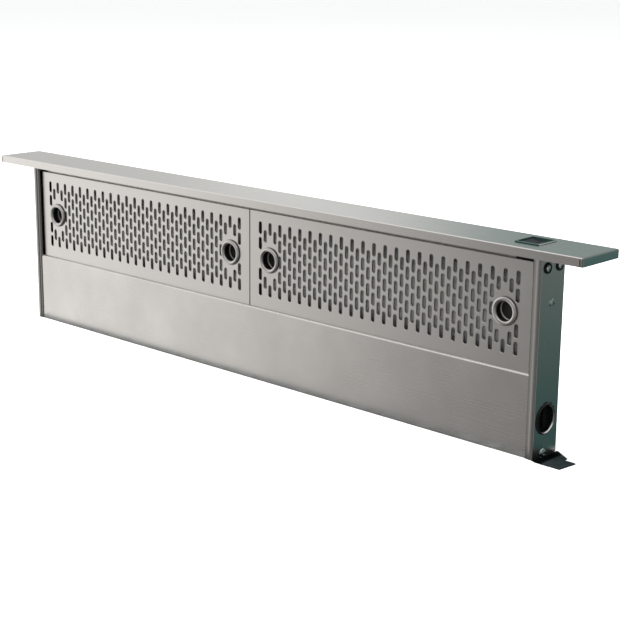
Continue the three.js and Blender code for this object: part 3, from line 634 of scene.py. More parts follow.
def paint(piece, material, test):
    """Gives the faces whose middle and normal pass the test another material."""
    piece.data.materials.append(material)
    last = len(piece.data.materials) - 1
    for face in piece.data.polygons:
        if test(face.center, face.normal):
            face.material_index = last
    return piece


def dress(piece, material):
    piece.data.materials.clear()
    piece.data.materials.append(material)


def fit(piece, beside, material, slot, *replaced):
    """Gives a piece its material and the body of the node beside it, and hides the solids it stands for; the
    slot is not used.
    """
    body = NODES[beside]["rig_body"]
    dress(piece, material)
    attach(piece, body)
    if replaced:
        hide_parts(*replaced)
    return piece


# ---------------------------------------------------------------- finishes on the solids


def nodes_named(word):
    return sorted(name for name in NODES if name.startswith(word))


def ring_steel(finish):
    return satin_steel("ring_steel", tint(finish.steel, 0.8), 0.30)


def screw_steel():
    return satin_steel("screw_steel", bpy.context.scene.vent_finish.zinc, 0.22)


class VENT_OT_finishes(bpy.types.Operator):
    """Gives each solid of the vent its finish"""

    bl_idname = "vent.finishes"
    bl_label = "Finishes"

    def execute(self, context):
        p = context.scene.vent_finish
        finishes = (
            (brushed_steel("brushed_steel_x", "X", p.steel, p.steel_roughness), (
                "cap", "front_panel", "back_panel", "top_rail", "bottom_crossbar", "grille_panel_left",
                "grille_panel_right")),
            (brushed_steel("brushed_steel_z", "Z", p.steel, p.steel_roughness), (
                "side_channel_left", "side_channel_right", "centre_mullion")),
            (galvanised("galvanised_sheet", p.galvanised), (
                "housing_front", "housing_back", "housing_end_left", "housing_end_right", "bottom_pan",
                "duct_collar", "backdraft_flap", "junction_box", "junction_box_lid", "support_leg_left",
                "support_leg_right", "motor_bracket")),
            (satin_steel("zinc_plate", p.zinc, 0.36), (
                "lead_screw", "guide_rail_left", "guide_rail_right", "flap_pin", "rocker_pin",
                "shaft_collar")),
            (satin_steel("bronze", p.bronze, 0.40), ("drive_nut",)),
            (satin_steel("dark_steel", p.dark_steel, 0.42), ("gearbox", "lift_motor", "knob_bezel")),
            # The flange's paint carries a painted shadow beside the chimney.
            (plate_paint("plate_paint", tint(p.dark_steel, 0.52)), ("counter_flange",)),
            (ring_steel(p), (*nodes_named("finger_ring"), "switch_bezel")),
            (filter_mesh("filter_mesh", p.mesh), nodes_named("filter_mesh")),
            (satin_steel("filter_frame", (0.45, 0.46, 0.46), 0.5), nodes_named("filter_frame")),
            (moulded_plastic("black_plastic", p.black_plastic, 0.38), (
                "rocker_switch", "switch_body", "speed_knob", "speed_control", "limit_switch_upper",
                "limit_switch_lower", "cable_gland")),
            (moulded_plastic("white_plastic", p.white_plastic, 0.45), (
                "guide_shoe_left", "guide_shoe_right")),
            (rubber("wiper_rubber", (0.012, 0.012, 0.012)), ("wiper_front", "wiper_back")),
        )
        bare = set(NODES)
        for material, names in finishes:
            for name in names:
                dress(NODES[name], material)
                bare.discard(name)
        if bare:
            raise RuntimeError("no finish for " + ", ".join(sorted(bare)))
        return {"FINISHED"}


# ---------------------------------------------------------------- grilles

SLOT_PITCH = 15.5 * MM
SLOT_ROW = 18 * MM
SLOT_COLUMNS = 24
SLOT_ROWS = 5
PATTERN_RISE = 1.7 * MM
RING_CLEAR = 13.8 * MM
RING_ENDS = ("inner", "outer")


def slot_places(rings, middle):
    """Middles of the slots of one grille: long columns, with a short one between each two."""
    places = []
    half_width, half_length = 3.9 * MM / 2, 13.9 * MM / 2  # of the solids' own slots

    def column(x, rows):
        for row in range(rows):
            z = ((rows - 1) / 2 - row) * SLOT_ROW
            near = min(
                math.hypot(max(abs(x - ring) - half_width, 0), max(abs(z) - half_length, 0)) for ring in rings
            )
            if near >= RING_CLEAR:
                places.append((middle + x, z))

    first = -(SLOT_COLUMNS - 1) / 2 * SLOT_PITCH
    for i in range(SLOT_COLUMNS):
        column(first + i * SLOT_PITCH, SLOT_ROWS)
        if i < SLOT_COLUMNS - 1:
            column(first + (i + 0.5) * SLOT_PITCH, SLOT_ROWS - 1)
    return places


def slot_cutter(p, front, back):
    """One slot's shape, run through the sheet and flared at its mouth."""
    w, l, round_end = p.slot_width / 2, p.slot_length / 2, 0.999
    cutter = block("slot_cutter", (-w, front, -l), (w, back, l))
    with editing(cutter):
        round_edges(cutter, lambda c, d: abs(d.y) > 0.9, w * round_end, 4)
        pick_faces(cutter, lambda c, n: n.y < -0.9)
        bpy.ops.mesh.extrude_region_move(TRANSFORM_OT_translate={"value": (0, -2 * p.flare, 0)})
        bpy.ops.transform.resize(value=(1 + 2 * p.flare / w, 1, 1 + 2 * p.flare / l))
    return cutter


def grille_face(p, side):
    """One grille: a shallow tray of sheet steel with its slots and two ring holes."""
    foot_drop, fold, hole_radius = 0.28 * MM, 0.0005, 0.0133
    low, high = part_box("grille_panel_" + side)
    middle = (low.x + high.x) / 2
    rings = sorted(
        (sum(c.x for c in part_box(f"finger_ring_{side}_{end}")) / 2 - middle) for end in RING_ENDS
    )
    foot, head = low - Vector((0, 0, foot_drop)), high + Vector((0, 0, p.upstand))
    tray = block("grille_face_" + side, foot, head)
    with editing(tray):
        pick_faces(tray, lambda c, n: n.y > 0.9)
        bpy.ops.mesh.inset(thickness=p.sheet)
        bpy.ops.mesh.extrude_region_move(TRANSFORM_OT_translate={"value": (0, low.y + p.sheet - high.y, 0)})
        round_edges(tray, lambda c, d: c.y < low.y + CLOSE and c.z > foot.z + 10 * CLOSE, fold, 3)
    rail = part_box("top_rail")[0]
    carve(tray, block("rail_room", (foot.x - PAST, rail.y - 0.6 * MM, rail.z - 0.3 * MM),
                      (head.x + PAST, head.y + PAST, head.z + PAST)))
    z = (low.z + high.z) / 2 + PATTERN_RISE
    one = slot_cutter(p, low.y + p.flare, low.y + 3 * p.sheet)
    slots = [twin(one, f"slot_{i}", (x, 0, z + dz)) for i, (x, dz) in enumerate(slot_places(rings, middle))]
    bpy.data.objects.remove(one)
    carve(tray, merge("slots", *slots))
    for ring in rings:
        carve(tray, rod("ring_hole", "Y", (middle + ring, low.y, z), hole_radius, PAST, 48))
    return settle(tray, 30)


def filter_pad(p, side):
    """The filter's foil pad: crowned from a deep margin to its middle, with a disc at the back of each bore;
    the grilles step paints the deep margin and the discs with shade.
    """
    margin_depth, crown = 3 * MM, ((0.30, 0.2), (0.25, 1.2), (0.25, 1.5), (0.20, 0.9))
    room_radius, back_radius, back_depth = 0.0136, 0.0116, 0.6 * MM
    low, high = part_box("filter_mesh_" + side)
    pad = block("filter_pad_" + side, low + Vector((0, margin_depth, 0)), high)
    with editing(pad):
        pick_faces(pad, lambda c, n: n.y < -0.9)
        for part, rise in crown:
            bpy.ops.mesh.inset(thickness=p.pad_margin * part)
            bpy.ops.transform.translate(value=(0, -rise * MM, 0))
    backs = []
    for end in RING_ENDS:
        ring_low, ring_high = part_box(f"finger_ring_{side}_{end}")
        middle = (ring_low + ring_high) / 2
        carve(pad, rod("ring_room", "Y", middle, room_radius, 3 * PAST, 32))
        behind = (middle.x, ring_high.y - 0.5 * MM, middle.z)
        backs.append(rod("bore_back_" + end, "Y", behind, back_radius, back_depth, 40))
    return settle(merge("filter_pad_" + side, pad, *backs), 40)


def finger_ring(p, name):
    """A pressed grommet: rounded bead, straight bore and a barrel behind the sheet."""
    low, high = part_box(name)
    middle = (low + high) / 2
    outer, barrel, bore = (high.x - low.x) / 2 / MM, 13.0, 11.2
    front, seat, back = low.y / MM, low.y / MM + 2.4, high.y / MM
    lip = outer - p.ring_bead / MM
    bead_middle, half, rise = (lip + outer) / 2, (outer - lip) / 2, 2.1
    outline = [(bore - 0.3, back - 1.5), (bore, back - 2.2), (bore, front + 4.4), (lip, front + 3.2)]
    outline += [(bead_middle + half * math.cos(a), front + rise + rise * math.sin(a))
                for a in (math.pi * (1 + i / 10) for i in range(11))]
    outline += [(outer, seat - 0.2), (outer - 0.2, seat), (barrel, seat), (barrel, back - 0.9)]
    outline += arc(barrel - 0.9, back - 0.9, 0.9, 0, 90, 3)[1:] + arc(bore - 0.5, back - 0.7, 0.7, 90, 270, 6)
    outline += [(bore - 0.3, back - 1.5)]
    return spun(name + "_piece", outline, (middle.x, 0, middle.z), "Y", 56)


class VENT_OT_grilles(bpy.types.Operator):
    """Models the two slotted grille faces and the filter pads behind them"""

    bl_idname = "vent.grilles"
    bl_label = "Grilles"

    def execute(self, context):
        finish, p = context.scene.vent_finish, context.scene.vent_grille
        wall_front, wall_back, shade_from = 0.0002, 0.0012, 2.75 * MM
        steel = brushed_steel("grille_steel", "X", finish.steel, finish.steel_roughness + 0.02)
        # Painted shade: the slots' side walls get a near-black copy of the steel.
        walls = satin_steel("punched_edge", tint(finish.steel, 0.16), 0.5)
        foil = filter_mesh("filter_mesh", finish.mesh)
        margin = satin_steel("filter_margin", tint(finish.mesh, 0.3), 0.5)
        for side in ("left", "right"):
            node, mesh = "grille_panel_" + side, "filter_mesh_" + side
            face = fit(grille_face(p, side), node, steel, "brushed_steel", node)
            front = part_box(node)[0].y
            paint(face, walls, lambda c, n: abs(n.y) < 0.4 and wall_front < c.y - front < wall_back)
            pad = fit(filter_pad(p, side), mesh, foil, "filter_aluminium", mesh)
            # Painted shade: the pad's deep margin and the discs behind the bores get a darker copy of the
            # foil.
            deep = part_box(mesh)[0].y + shade_from
            paint(pad, margin, lambda c, n: c.y > deep)
        return {"FINISHED"}


class VENT_OT_rings(bpy.types.Operator):
    """Models the four finger rings"""

    bl_idname = "vent.rings"
    bl_label = "Finger rings"

    def execute(self, context):
        finish = context.scene.vent_finish
        barrel, bore_front, bore_back = 13.5 * MM, 3.5 * MM, 10 * MM
        shade = satin_steel("ring_side_steel", tint(finish.steel, 0.16), 0.4)
        for node in nodes_named("finger_ring"):
            ring = finger_ring(context.scene.vent_grille, node)
            fit(ring, node, ring_steel(finish), "brushed_steel", node)
            middle, front = centre_of(node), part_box(node)[0].y
            # Painted shade: each ring's outer side and the inside of its bore get a near-black copy of the
            # steel.
            paint(ring, shade, lambda c, n: n.y > -0.35 and (
                math.hypot(c.x - middle.x, c.z - middle.z) > barrel
                or bore_front < c.y - front < bore_back))
        return {"FINISHED"}


# ---------------------------------------------------------------- cap and sheet work

# Sheet thickness and fold radii, in millimetres.
STEEL = 1.2
POST_FOLD = 1.5
LEDGE_FOLD = 3.0


def cap_block(name, low, high, fold):
    """A flat block with round edges round its top and at its corners."""
    made = block(name, low, high)
    with editing(made):
        round_edges(made, lambda c, d: c.z > high.z - CLOSE or abs(d.z) > 0.9, fold, 4)
    return made


def cap_shell(p):
    """The cap: a shallow box of folded sheet, lipped below, with a seam near each corner."""
    lip_width, hole_margin, seam_width, seam_depth = 7 * MM, 1.0 * MM, 1.2 * MM, 0.7 * MM
    low, high = CAP_LOW, CAP_HIGH
    middle = (low + high) / 2
    sheet, lip = Vector((1, 1, 1)) * STEEL * MM, Vector((1, 1, 0)) * lip_width
    shell = cap_block("cap_shell", low, high, p.cap_edge)
    carve(shell, cap_block("cavity", low + sheet, high - sheet, p.cap_edge / 2))
    carve(shell, block("mouth", low + lip - Vector((0, 0, PAST)), Vector((high.x, high.y, middle.z)) - lip))
    ring_low, ring_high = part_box("switch_bezel")
    carve(shell, block("switch_hole", (ring_low.x + hole_margin, ring_low.y + hole_margin, middle.z),
                       (ring_high.x - hole_margin, ring_high.y - hole_margin, high.z + PAST)))
    for side in (-1, 1):
        x = side * (high.x - p.cap_seam)
        for y in (low.y, high.y):
            carve(shell, block("groove", (x - seam_width / 2, y - seam_depth, low.z - 1 * MM),
                               (x + seam_width / 2, y + seam_depth, high.z - p.cap_edge)))
    return settle(shell, 32)


def end_post(name):
    """One end of the chimney: a channel of sheet steel with round folds."""
    front_flange, front_return, back_flange = 9.5, 5, 14
    low, high = CHIMNEY_LOW / MM, CHIMNEY_HIGH / MM
    path = [
        (high.x - front_flange, low.y + front_return), (high.x - front_flange, low.y), (high.x, low.y),
        (high.x, high.y), (high.x - back_flange, high.y),
    ]
    outline = [(x * MM, y * MM, low.z * MM) for x, y in sheet_outline(path, STEEL, POST_FOLD)]
    return drawn(name, outline, (0, 0, (high.z - low.z) * MM), 32)


def lower_panel():
    """The plain front panel with its ledge under the grilles."""
    turned_in = 8
    low, high = (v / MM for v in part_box("front_panel"))
    path = [
        (high.y, high.z - turned_in), (high.y, high.z), (low.y, high.z), (low.y, low.z),
        (low.y + turned_in, low.z),
    ]
    outline = [(low.x * MM, y * MM, z * MM) for y, z in sheet_outline(path, STEEL, LEDGE_FOLD)]
    return drawn("lower_panel", outline, ((high.x - low.x) * MM, 0, 0), 32)


class VENT_OT_cap(bpy.types.Operator):
    """Models the cap with its folded edges and corner seams"""

    bl_idname = "vent.cap"
    bl_label = "Cap"

    def execute(self, context):
        finish, p = context.scene.vent_finish, context.scene.vent_sheet
        rough = finish.steel_roughness
        steel = brushed_steel("cap_steel", "X", finish.steel, rough)
        # Painted reflection and shade: the cap's ends get a darker teal copy of the steel for the dim teal
        # surroundings they mirror; the end folds and the corner seam grooves get a darker copy as painted
        # shade.
        teal_reflection = [c * part for c, part in zip(finish.steel, (0.52, 0.76, 0.75))]
        ends = brushed_steel("cap_end_steel", "Y", teal_reflection, rough)
        folds = brushed_steel("cap_fold_steel", "Y", tint(finish.steel, 0.4), rough)
        cap = fit(cap_shell(p), "cap", steel, "brushed_steel", "cap")
        end_width, fold_width, seam_half = 1.0 * MM, 2.0 * MM, 0.65 * MM
        skin, groove = 0.05 * MM, 0.75 * MM
        far, seam = CAP_HIGH.x, CAP_HIGH.x - p.cap_seam
        paint(cap, ends, lambda c, n: abs(n.x) > 0.9 and abs(c.x) > far - end_width)
        paint(cap, folds, lambda c, n: 0.12 < abs(n.x) < 0.9 and abs(c.x) > far - fold_width)
        paint(cap, folds, lambda c, n: abs(abs(c.x) - seam) < seam_half and (
            skin < CAP_HIGH.y - c.y < groove or skin < c.y - CAP_LOW.y < groove))
        return {"FINISHED"}


class VENT_OT_sheets(bpy.types.Operator):
    """Models the end posts and the lower front panel"""

    bl_idname = "vent.sheets"
    bl_label = "Posts and lower panel"

    def execute(self, context):
        finish, p = context.scene.vent_finish, context.scene.vent_sheet
        low, high, rough = CHIMNEY_LOW, CHIMNEY_HIGH, finish.steel_roughness
        panel_steel = brushed_steel("panel_steel", "X", finish.steel, rough, blotch=0.30)
        post_steel = brushed_steel("post_steel", "Z", finish.steel, rough, blotch=0.08)
        # The rebate in each post's front gets a darker copy of the steel as painted shade.
        rebate_steel = brushed_steel("rebate_steel", "Z", tint(finish.steel, 0.40), rough + 0.1)
        fit(lower_panel(), "front_panel", panel_steel, "brushed_steel", "front_panel")
        step, rebate_width, rebate_depth, hole_radius = high.x - p.strip, 10 * MM, 0.6 * MM, 14.8 * MM
        right = end_post("post_right")
        carve(right, block("rebate", (high.x - rebate_width, low.y - PAST, low.z - PAST),
                           (step, low.y + rebate_depth, high.z + PAST)))
        left = mirrored(right, "post_left")
        knob_low, knob_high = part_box("knob_bezel")
        middle = (high.x, (knob_low.y + knob_high.y) / 2, (knob_low.z + knob_high.z) / 2)
        carve(right, rod("knob_hole", "X", middle, hole_radius, PAST, 64))
        # Painted shade: each post's front and front fold get a darker copy of the steel, the right post
        # darker than the left, as light falls on them.
        for word, post, shade in (("right", right, 0.46), ("left", left, 0.70)):
            node = "side_channel_" + word
            front_shade_steel = brushed_steel(
                "post_front_" + word, "Z", tint(finish.steel, shade), rough, blotch=0.08
            )
            fit(settle(post, 32), node, post_steel, "brushed_steel", node)
            paint(post, front_shade_steel, lambda c, n: n.y < -0.25 and c.y < low.y + POST_FOLD * MM)
            paint(post, rebate_steel, lambda c, n: abs(c.x) < step + 10 * CLOSE and c.y < low.y + 2 * MM)
        return {"FINISHED"}


# ---------------------------------------------------------------- switch and knob


def switch_bezel():
    """A rounded frame that sits on the cap, with a skirt down through it."""
    clear, skirt, rim_height, overlap = 0.6 * MM, 0.9 * MM, 0.9 * MM, 0.4 * MM
    low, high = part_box("switch_bezel")
    inner_low, inner_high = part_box("rocker_switch")
    rim = block("switch_rim", (low.x, low.y, high.z - rim_height), high)
    with editing(rim):
        round_edges(rim, lambda c, d: abs(d.z) > 0.9, 1.6 * MM, 5)
        round_edges(rim, lambda c, d: c.z > high.z - CLOSE, 0.5 * MM, 3)
    weld(rim, block("skirt", (inner_low.x - clear - skirt, inner_low.y - clear - skirt, low.z),
                    (inner_high.x + clear + skirt, inner_high.y + clear + skirt, high.z - overlap)))
    carve(rim, block("well", (inner_low.x - clear, inner_low.y - clear, low.z - PAST),
                     (inner_high.x + clear, inner_high.y + clear, high.z + PAST)))
    return settle(rename(rim, "switch_frame"), 32)


def rocker():
    """The rocker: a dished key with rounded edges and a fine ridge across its middle."""
    dish, side_height, ridge_half, ridge_rise = 1.5 * MM, 1.9 * MM, 0.35 * MM, 0.25 * MM
    low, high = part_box("rocker_switch")
    cx, half = (low.x + high.x) / 2, (high.x - low.x) / 2
    top = [(cx - half * (1 - i / 8), high.z - dish * (1 - (1 - i / 8) ** 2)) for i in range(17)]
    foot = [(high.x, high.z - side_height), (cx + half / 2, low.z), (cx - half / 2, low.z),
            (low.x, high.z - side_height)]
    key = drawn("rocker_key", [(x, low.y, z) for x, z in top + foot], (0, high.y - low.y, 0))
    with editing(key):
        round_edges(key, lambda c, d: abs(abs(c.y) - high.y) < CLOSE and c.z > high.z - 2 * MM, 0.7 * MM, 3)
    weld(key, block("ridge", (cx - ridge_half, low.y + 5 * MM, high.z - dish - 0.6 * MM),
                    (cx + ridge_half, high.y - 5 * MM, high.z - dish + ridge_rise)))
    return settle(key, 32)


class VENT_OT_switch(bpy.types.Operator):
    """Models the rocker switch and its frame in the cap"""

    bl_idname = "vent.switch"
    bl_label = "Switch"

    def execute(self, context):
        finish = context.scene.vent_finish
        steel = satin_steel("switch_steel", finish.steel, 0.30)
        black = moulded_plastic("switch_plastic", finish.black_plastic, 0.42, gloss=0.12)
        dark = moulded_plastic("switch_frame", (0.03, 0.055, 0.052), 0.45, gloss=0.1)
        bezel = fit(switch_bezel(), "switch_bezel", steel, "brushed_steel", "switch_bezel")
        # Painted shade and highlight: the frame is painted dark teal as shade, and bare steel is left only
        # along its right and back edges as a painted highlight.
        highlight_edge, right, back = 0.7 * MM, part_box("switch_bezel")[1].x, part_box("switch_bezel")[1].y
        paint(bezel, dark, lambda c, n: n.z > 0.9 or c.x < right - highlight_edge and c.y < back - highlight_edge)
        fit(rocker(), "rocker_switch", black, "black_plastic", "rocker_switch")
        return {"FINISHED"}


def knob_cup():
    """The knob's recess: a turned cup with a thin rounded rim."""
    well, bore, wall = 14.5, 3.4, 0.8
    low, high = (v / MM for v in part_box("knob_bezel"))
    x, r = CHIMNEY_HIGH.x / MM, (high.z - low.z) / 2
    floor, out = low.x - x, high.x - x
    outline = [(bore, floor), (well, floor), (well, 0.3), (r - 0.2, 0.3), (r, 0.5)]
    outline += [(r - 0.35 * (1 - math.cos(a)) - 0.5 * a, 0.5 + (out - 0.5) * math.sin(a))
                for a in (0.3, 0.6, 0.9, 1.2, math.pi / 2)]
    outline += [(14.75, out), (well, out - 0.15), (13.7, out - 1.3), (13.5, out - 1.7), (13.5, floor + wall)]
    outline += [(bore, floor + wall), (bore, floor)]
    middle = (CHIMNEY_HIGH.x, (low.y + high.y) / 2 * MM, (low.z + high.z) / 2 * MM)
    return spun("knob_cup", outline, middle, "X", 72)


def knob():
    """The fan-speed knob: a black disc with a finely grooved edge and a finger bar."""
    grooves, groove_half, bar_half, bar_reach = 36, 0.22, 2.5, 9.9
    low, high = (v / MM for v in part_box("speed_knob"))
    x = CHIMNEY_HIGH.x / MM
    face, back, r = -2.6, low.x - x, 13.0
    outline = [(0, back + 4), (3.3, back + 4), (3.3, back), (r, back), (r, face - 1.1)]
    outline += [(r - 1 + math.cos(a), face - 1 + math.sin(a)) for a in (0.3, 0.7, 1.1, math.pi / 2)]
    outline += [(10.8, face), (10.2, face - 0.35), (9.4, face - 0.35), (0, face - 0.35)]
    cy, cz = (low.y + high.y) / 2, (low.z + high.z) / 2
    disc = spun("speed_dial", outline, (x * MM, cy * MM, cz * MM), "X", 96)
    notch = block("edge_groove", ((x - 9) * MM, (cy - groove_half) * MM, (cz + r - 0.35) * MM),
                  ((x + face - 0.9) * MM, (cy + groove_half) * MM, (cz + r + 1) * MM))
    about = Matrix.Translation((0, cy * MM, cz * MM))
    cuts = []
    for i in range(grooves):
        turn = Matrix.Rotation(math.tau * i / grooves, 4, "X")
        cuts.append(twin(notch, f"groove_{i}", turn=about @ turn @ about.inverted()))
    bpy.data.objects.remove(notch)
    carve(disc, merge("grooves", *cuts))
    bar = block("finger_bar", ((x + face - 1.2) * MM, (cy - bar_half) * MM, (cz - bar_reach) * MM),
                (high.x * MM, (cy + bar_half) * MM, (cz + bar_reach) * MM))
    with editing(bar):
        round_edges(bar, lambda c, d: abs(d.x) > 0.9, 2.3 * MM, 5)
        round_edges(bar, lambda c, d: c.x > high.x * MM - CLOSE, 0.6 * MM, 3)
    return settle(weld(disc, bar), 32)


def speed_marks():
    """Three plain dashes round the knob, longest first, raised a little as thick print is."""
    outer, inner = 17.6, 16.6
    low, high = (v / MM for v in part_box("knob_bezel"))
    cy, cz = (low.y + high.y) / 2, (low.z + high.z) / 2
    x = CHIMNEY_HIGH.x / MM
    dashes = []
    for i, (middle, half) in enumerate(((90, 14), (57, 8), (36, 5))):
        edge = arc(cy, cz, outer, middle - half, middle + half, 8)
        edge += arc(cy, cz, inner, middle + half, middle - half, 8)
        outline = [((x - 0.1) * MM, y * MM, z * MM) for y, z in edge]
        dashes.append(drawn(f"dash_{i}", outline, (0.16 * MM, 0, 0)))
    return merge("speed_marks", *dashes)


class VENT_OT_knob(bpy.types.Operator):
    """Models the speed knob, its cup and the marks round it"""

    bl_idname = "vent.knob"
    bl_label = "Speed knob"

    def execute(self, context):
        finish = context.scene.vent_finish
        black = moulded_plastic("knob_plastic", tint(finish.black_plastic, 0.15), 0.5, gloss=0.03)
        dark = moulded_plastic("knob_rim", tint(finish.black_plastic, 0.4), 0.4, gloss=0.15)
        steel = satin_steel("knob_cup_steel", tint(finish.steel, 0.8), 0.3)
        cup = fit(knob_cup(), "knob_bezel", dark, "dark_steel", "knob_bezel")
        middle, lip_depth, lip_inner, lip_outer = centre_of("knob_bezel"), 1.1 * MM, 13.3 * MM, 14.6 * MM
        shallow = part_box("knob_bezel")[1].x - lip_depth
        paint(cup, steel, lambda c, n: c.x > shallow
              and lip_inner < math.hypot(c.y - middle.y, c.z - middle.z) < lip_outer)
        fit(knob(), "speed_knob", black, "black_plastic", "speed_knob")
        fit(speed_marks(), "side_channel_right", black, "black_plastic")
        return {"FINISHED"}


# ---------------------------------------------------------------- fasteners

# Places of the housing's wall screws, in millimetres from the middle and above the ground.
WALL_FACE = 26.7
WALL_COLUMN = 407.7
WALL_ROWS = (60, 150, 240, 320)
FOOT_ROW = 16.2


def place_all(made, name, places, way, beside, material, slot):
    """Copies a piece that faces +X at the origin to all places, facing one way."""
    turn = Vector((1, 0, 0)).rotation_difference(Vector(way)).to_matrix().to_4x4()
    copies = [twin(made, f"{name}_{i}", place, turn) for i, place in enumerate(places)]
    bpy.data.objects.remove(made)
    return fit(merge(name, *copies), beside, material, slot)


def pan_screw(name, radius, height):
    """A pan-head screw with a crossed recess."""
    rim = [(radius * math.cos(a), height * 0.25 + height * 0.75 * math.sin(a))
           for a in (0.0, 0.35, 0.7, 1.05, 1.35)]
    screw = spun(name, [(0, 0), (radius, 0), *rim, (0, height)], (0, 0, 0), "X", 28)
    arm, slim = radius * 0.42 * MM, radius * 0.10 * MM
    for i, (y, z) in enumerate(((arm, slim), (slim, arm))):
        carve(screw, block(f"recess_{i}", (height * 0.55 * MM, -y, -z), (2 * height * MM, y, z)))
    return settle(screw, 35)


def screw_cup():
    """The turned cup that a screw head sits in."""
    outline = [
        (2.6, 0), (5.8, 0), (5.8, 0.8), (5.3, 1.5), (4.6, 1.8), (4.0, 1.4), (3.8, 0.5), (2.6, 0.5), (2.6, 0),
    ]
    return spun("screw_cup", outline, (0, 0, 0), "X", 40)


def rivet(name, radius, height):
    """A domed rivet with the small pit of its mandrel."""
    dome = [(radius * math.cos(a), height * math.sin(a)) for a in (0.3, 0.6, 0.9, 1.15)]
    pit = radius * 0.36
    outline = [(0, 0), (radius, 0), *dome, (pit, height), (pit, height * 0.6), (0, height * 0.6)]
    return spun(name, outline, (0, 0, 0), "X", 24)


def hex_bolt(name, across, height):
    """A hexagon head on a washer."""
    thick, wide = 1.2, across * 0.95
    outline = [(0, 0), (wide, 0), (wide, 1.0), (across * 0.9, thick), (0, thick)]
    washer = spun(name, outline, (0, 0, 0), "X", 32)
    middle = ((thick + height / 2) * MM, 0, 0)
    head = rod("hexagon", "X", middle, across / math.sqrt(3) * MM, height * MM, 6)
    modify(head, "BEVEL", width=0.5 * MM, segments=2, limit_method="ANGLE", angle_limit=math.radians(30))
    return settle(weld(washer, head), 35)


def end_places(side, spots, out=0.0):
    """Places on an end face, from pairs of y and height above the counter, in millimetres."""
    return [(side * (CHIMNEY_HIGH.x + out * MM), y * MM, COUNTER_Z + z * MM) for y, z in spots]


def end_fixings(context):
    """Two screws in dark cups at the top of each end, a rivet below and a rivet near the counter."""
    screws, sunk_cup = ((-10, 193.7), (10.5, 193.7)), 0.3
    rivets = (("upper", 4.2, (0, 157.6)), ("lower", 5.2, (-3.2, 3.4)))
    cup_dark = satin_steel("screw_cup", context.scene.vent_finish.dark_steel, 0.34)
    dull = satin_steel("rivet_steel", (0.30, 0.37, 0.35), 0.26)
    for word, side in SIDES:
        on_end = ((side, 0, 0), "side_channel_right")
        cups, heads = end_places(side, screws), end_places(side, screws, sunk_cup)
        place_all(screw_cup(), "screw_cups_" + word, cups, *on_end, cup_dark, "dark_steel")
        head = pan_screw("screw_head", 3.6, 1.9)
        place_all(head, "end_screws_" + word, heads, *on_end, screw_steel(), "zinc_plate")
        for level, radius, spot in rivets:
            made, name = rivet("end_rivet", radius, 1.9), f"end_rivet_{level}_{word}"
            place_all(made, name, end_places(side, [spot]), *on_end, dull, "zinc_plate")


def throat_shadow(context):
    """A near-black wedge of painted shadow beside the chimney's right end, in the corner behind the counter
    flange.
    """
    near, middle, far, back, sunk, height = 405.7 * MM, 408 * MM, 425 * MM, 18 * MM, 0.5 * MM, 1.7 * MM
    shadow_paint = plate_paint("seal_foam", context.scene.vent_finish.dark_steel)
    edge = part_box("counter_flange")[1].y + 0.2 * MM
    outline = [(near, edge), (far, edge), (middle, back), (near, back)]
    # The wedge fills the gap beside the chimney with near-black paint, as the shadow there.
    wedge = drawn("throat_shadow", [(x, y, COUNTER_Z - sunk) for x, y in outline], (0, 0, height))
    fit(wedge, "housing_front", shadow_paint, "black_plastic")


def back_rivets():
    """A row of rivets down each post's back flange."""
    column, rows = 396, (372, 418, 464, 510, 552)
    places = [(side * column * MM, CHIMNEY_HIGH.y, z * MM) for side in (-1, 1) for z in rows]
    place_all(rivet("back_rivet", 2.4, 0.9), "post_rivets", places, (0, 1, 0), "back_panel", screw_steel(),
              "zinc_plate")


def housing_screws():
    """Screws that hold the housing's walls, its pan, the duct collar and the box's lid."""
    steel = screw_steel()
    collar_face, collar_inset, collar_sink, lid_inset = -28.0 * MM, 6 * MM, 5.5 * MM, 7 * MM
    columns = [(side * WALL_COLUMN, z) for side in (-1, 1) for z in WALL_ROWS]
    walls = (("front", -1, (-372, 0, 120, 372)), ("back", 1, (-372, -186, 0, 186, 372)))
    for word, side, feet in walls:
        spots = columns + [(x, FOOT_ROW) for x in feet]
        places = [(x * MM, side * WALL_FACE * MM, z * MM) for x, z in spots]
        place_all(pan_screw("wall_screw", 3.6, 2.0), "wall_screws_" + word, places, (0, side, 0),
                  "housing_front", steel, "zinc_plate")
    low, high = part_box("duct_collar")
    places = [(x, collar_face, z) for x in (low.x + collar_inset, (low.x + high.x) / 2, high.x - collar_inset)
              for z in (low.z + collar_sink, high.z - collar_sink)]
    place_all(pan_screw("collar_screw", 3.2, 1.8), "collar_screws", places, (0, -1, 0), "duct_collar", steel,
              "zinc_plate")
    low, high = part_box("junction_box_lid")
    places = [(x, low.y, z) for x in (low.x + lid_inset, high.x - lid_inset)
              for z in (low.z + lid_inset, high.z - lid_inset)]
    place_all(pan_screw("lid_screw", 3.0, 1.7), "lid_screws", places, (0, -1, 0), "junction_box_lid", steel,
              "zinc_plate")


def leg_bolts():
    """Two hexagon bolts through the slot of each leg."""
    heights = (62, 88)
    for word, side in SIDES:
        leg = "support_leg_" + word
        low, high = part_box(leg)
        places = [(high.x if side > 0 else low.x, 0, z * MM) for z in heights]
        place_all(hex_bolt("leg_bolt", 8.0, 3.4), "leg_bolts_" + word, places, (side, 0, 0), leg,
                  screw_steel(), "zinc_plate")


class VENT_OT_fasteners(bpy.types.Operator):
    """Models the screws, rivets and bolts of the chimney and the housing, and a near-black wedge of painted
    shadow
    """

    bl_idname = "vent.fasteners"
    bl_label = "Fasteners"

    def execute(self, context):
        end_fixings(context)
        throat_shadow(context)
        back_rivets()
        housing_screws()
        leg_bolts()
        return {"FINISHED"}


# ---------------------------------------------------------------- stage

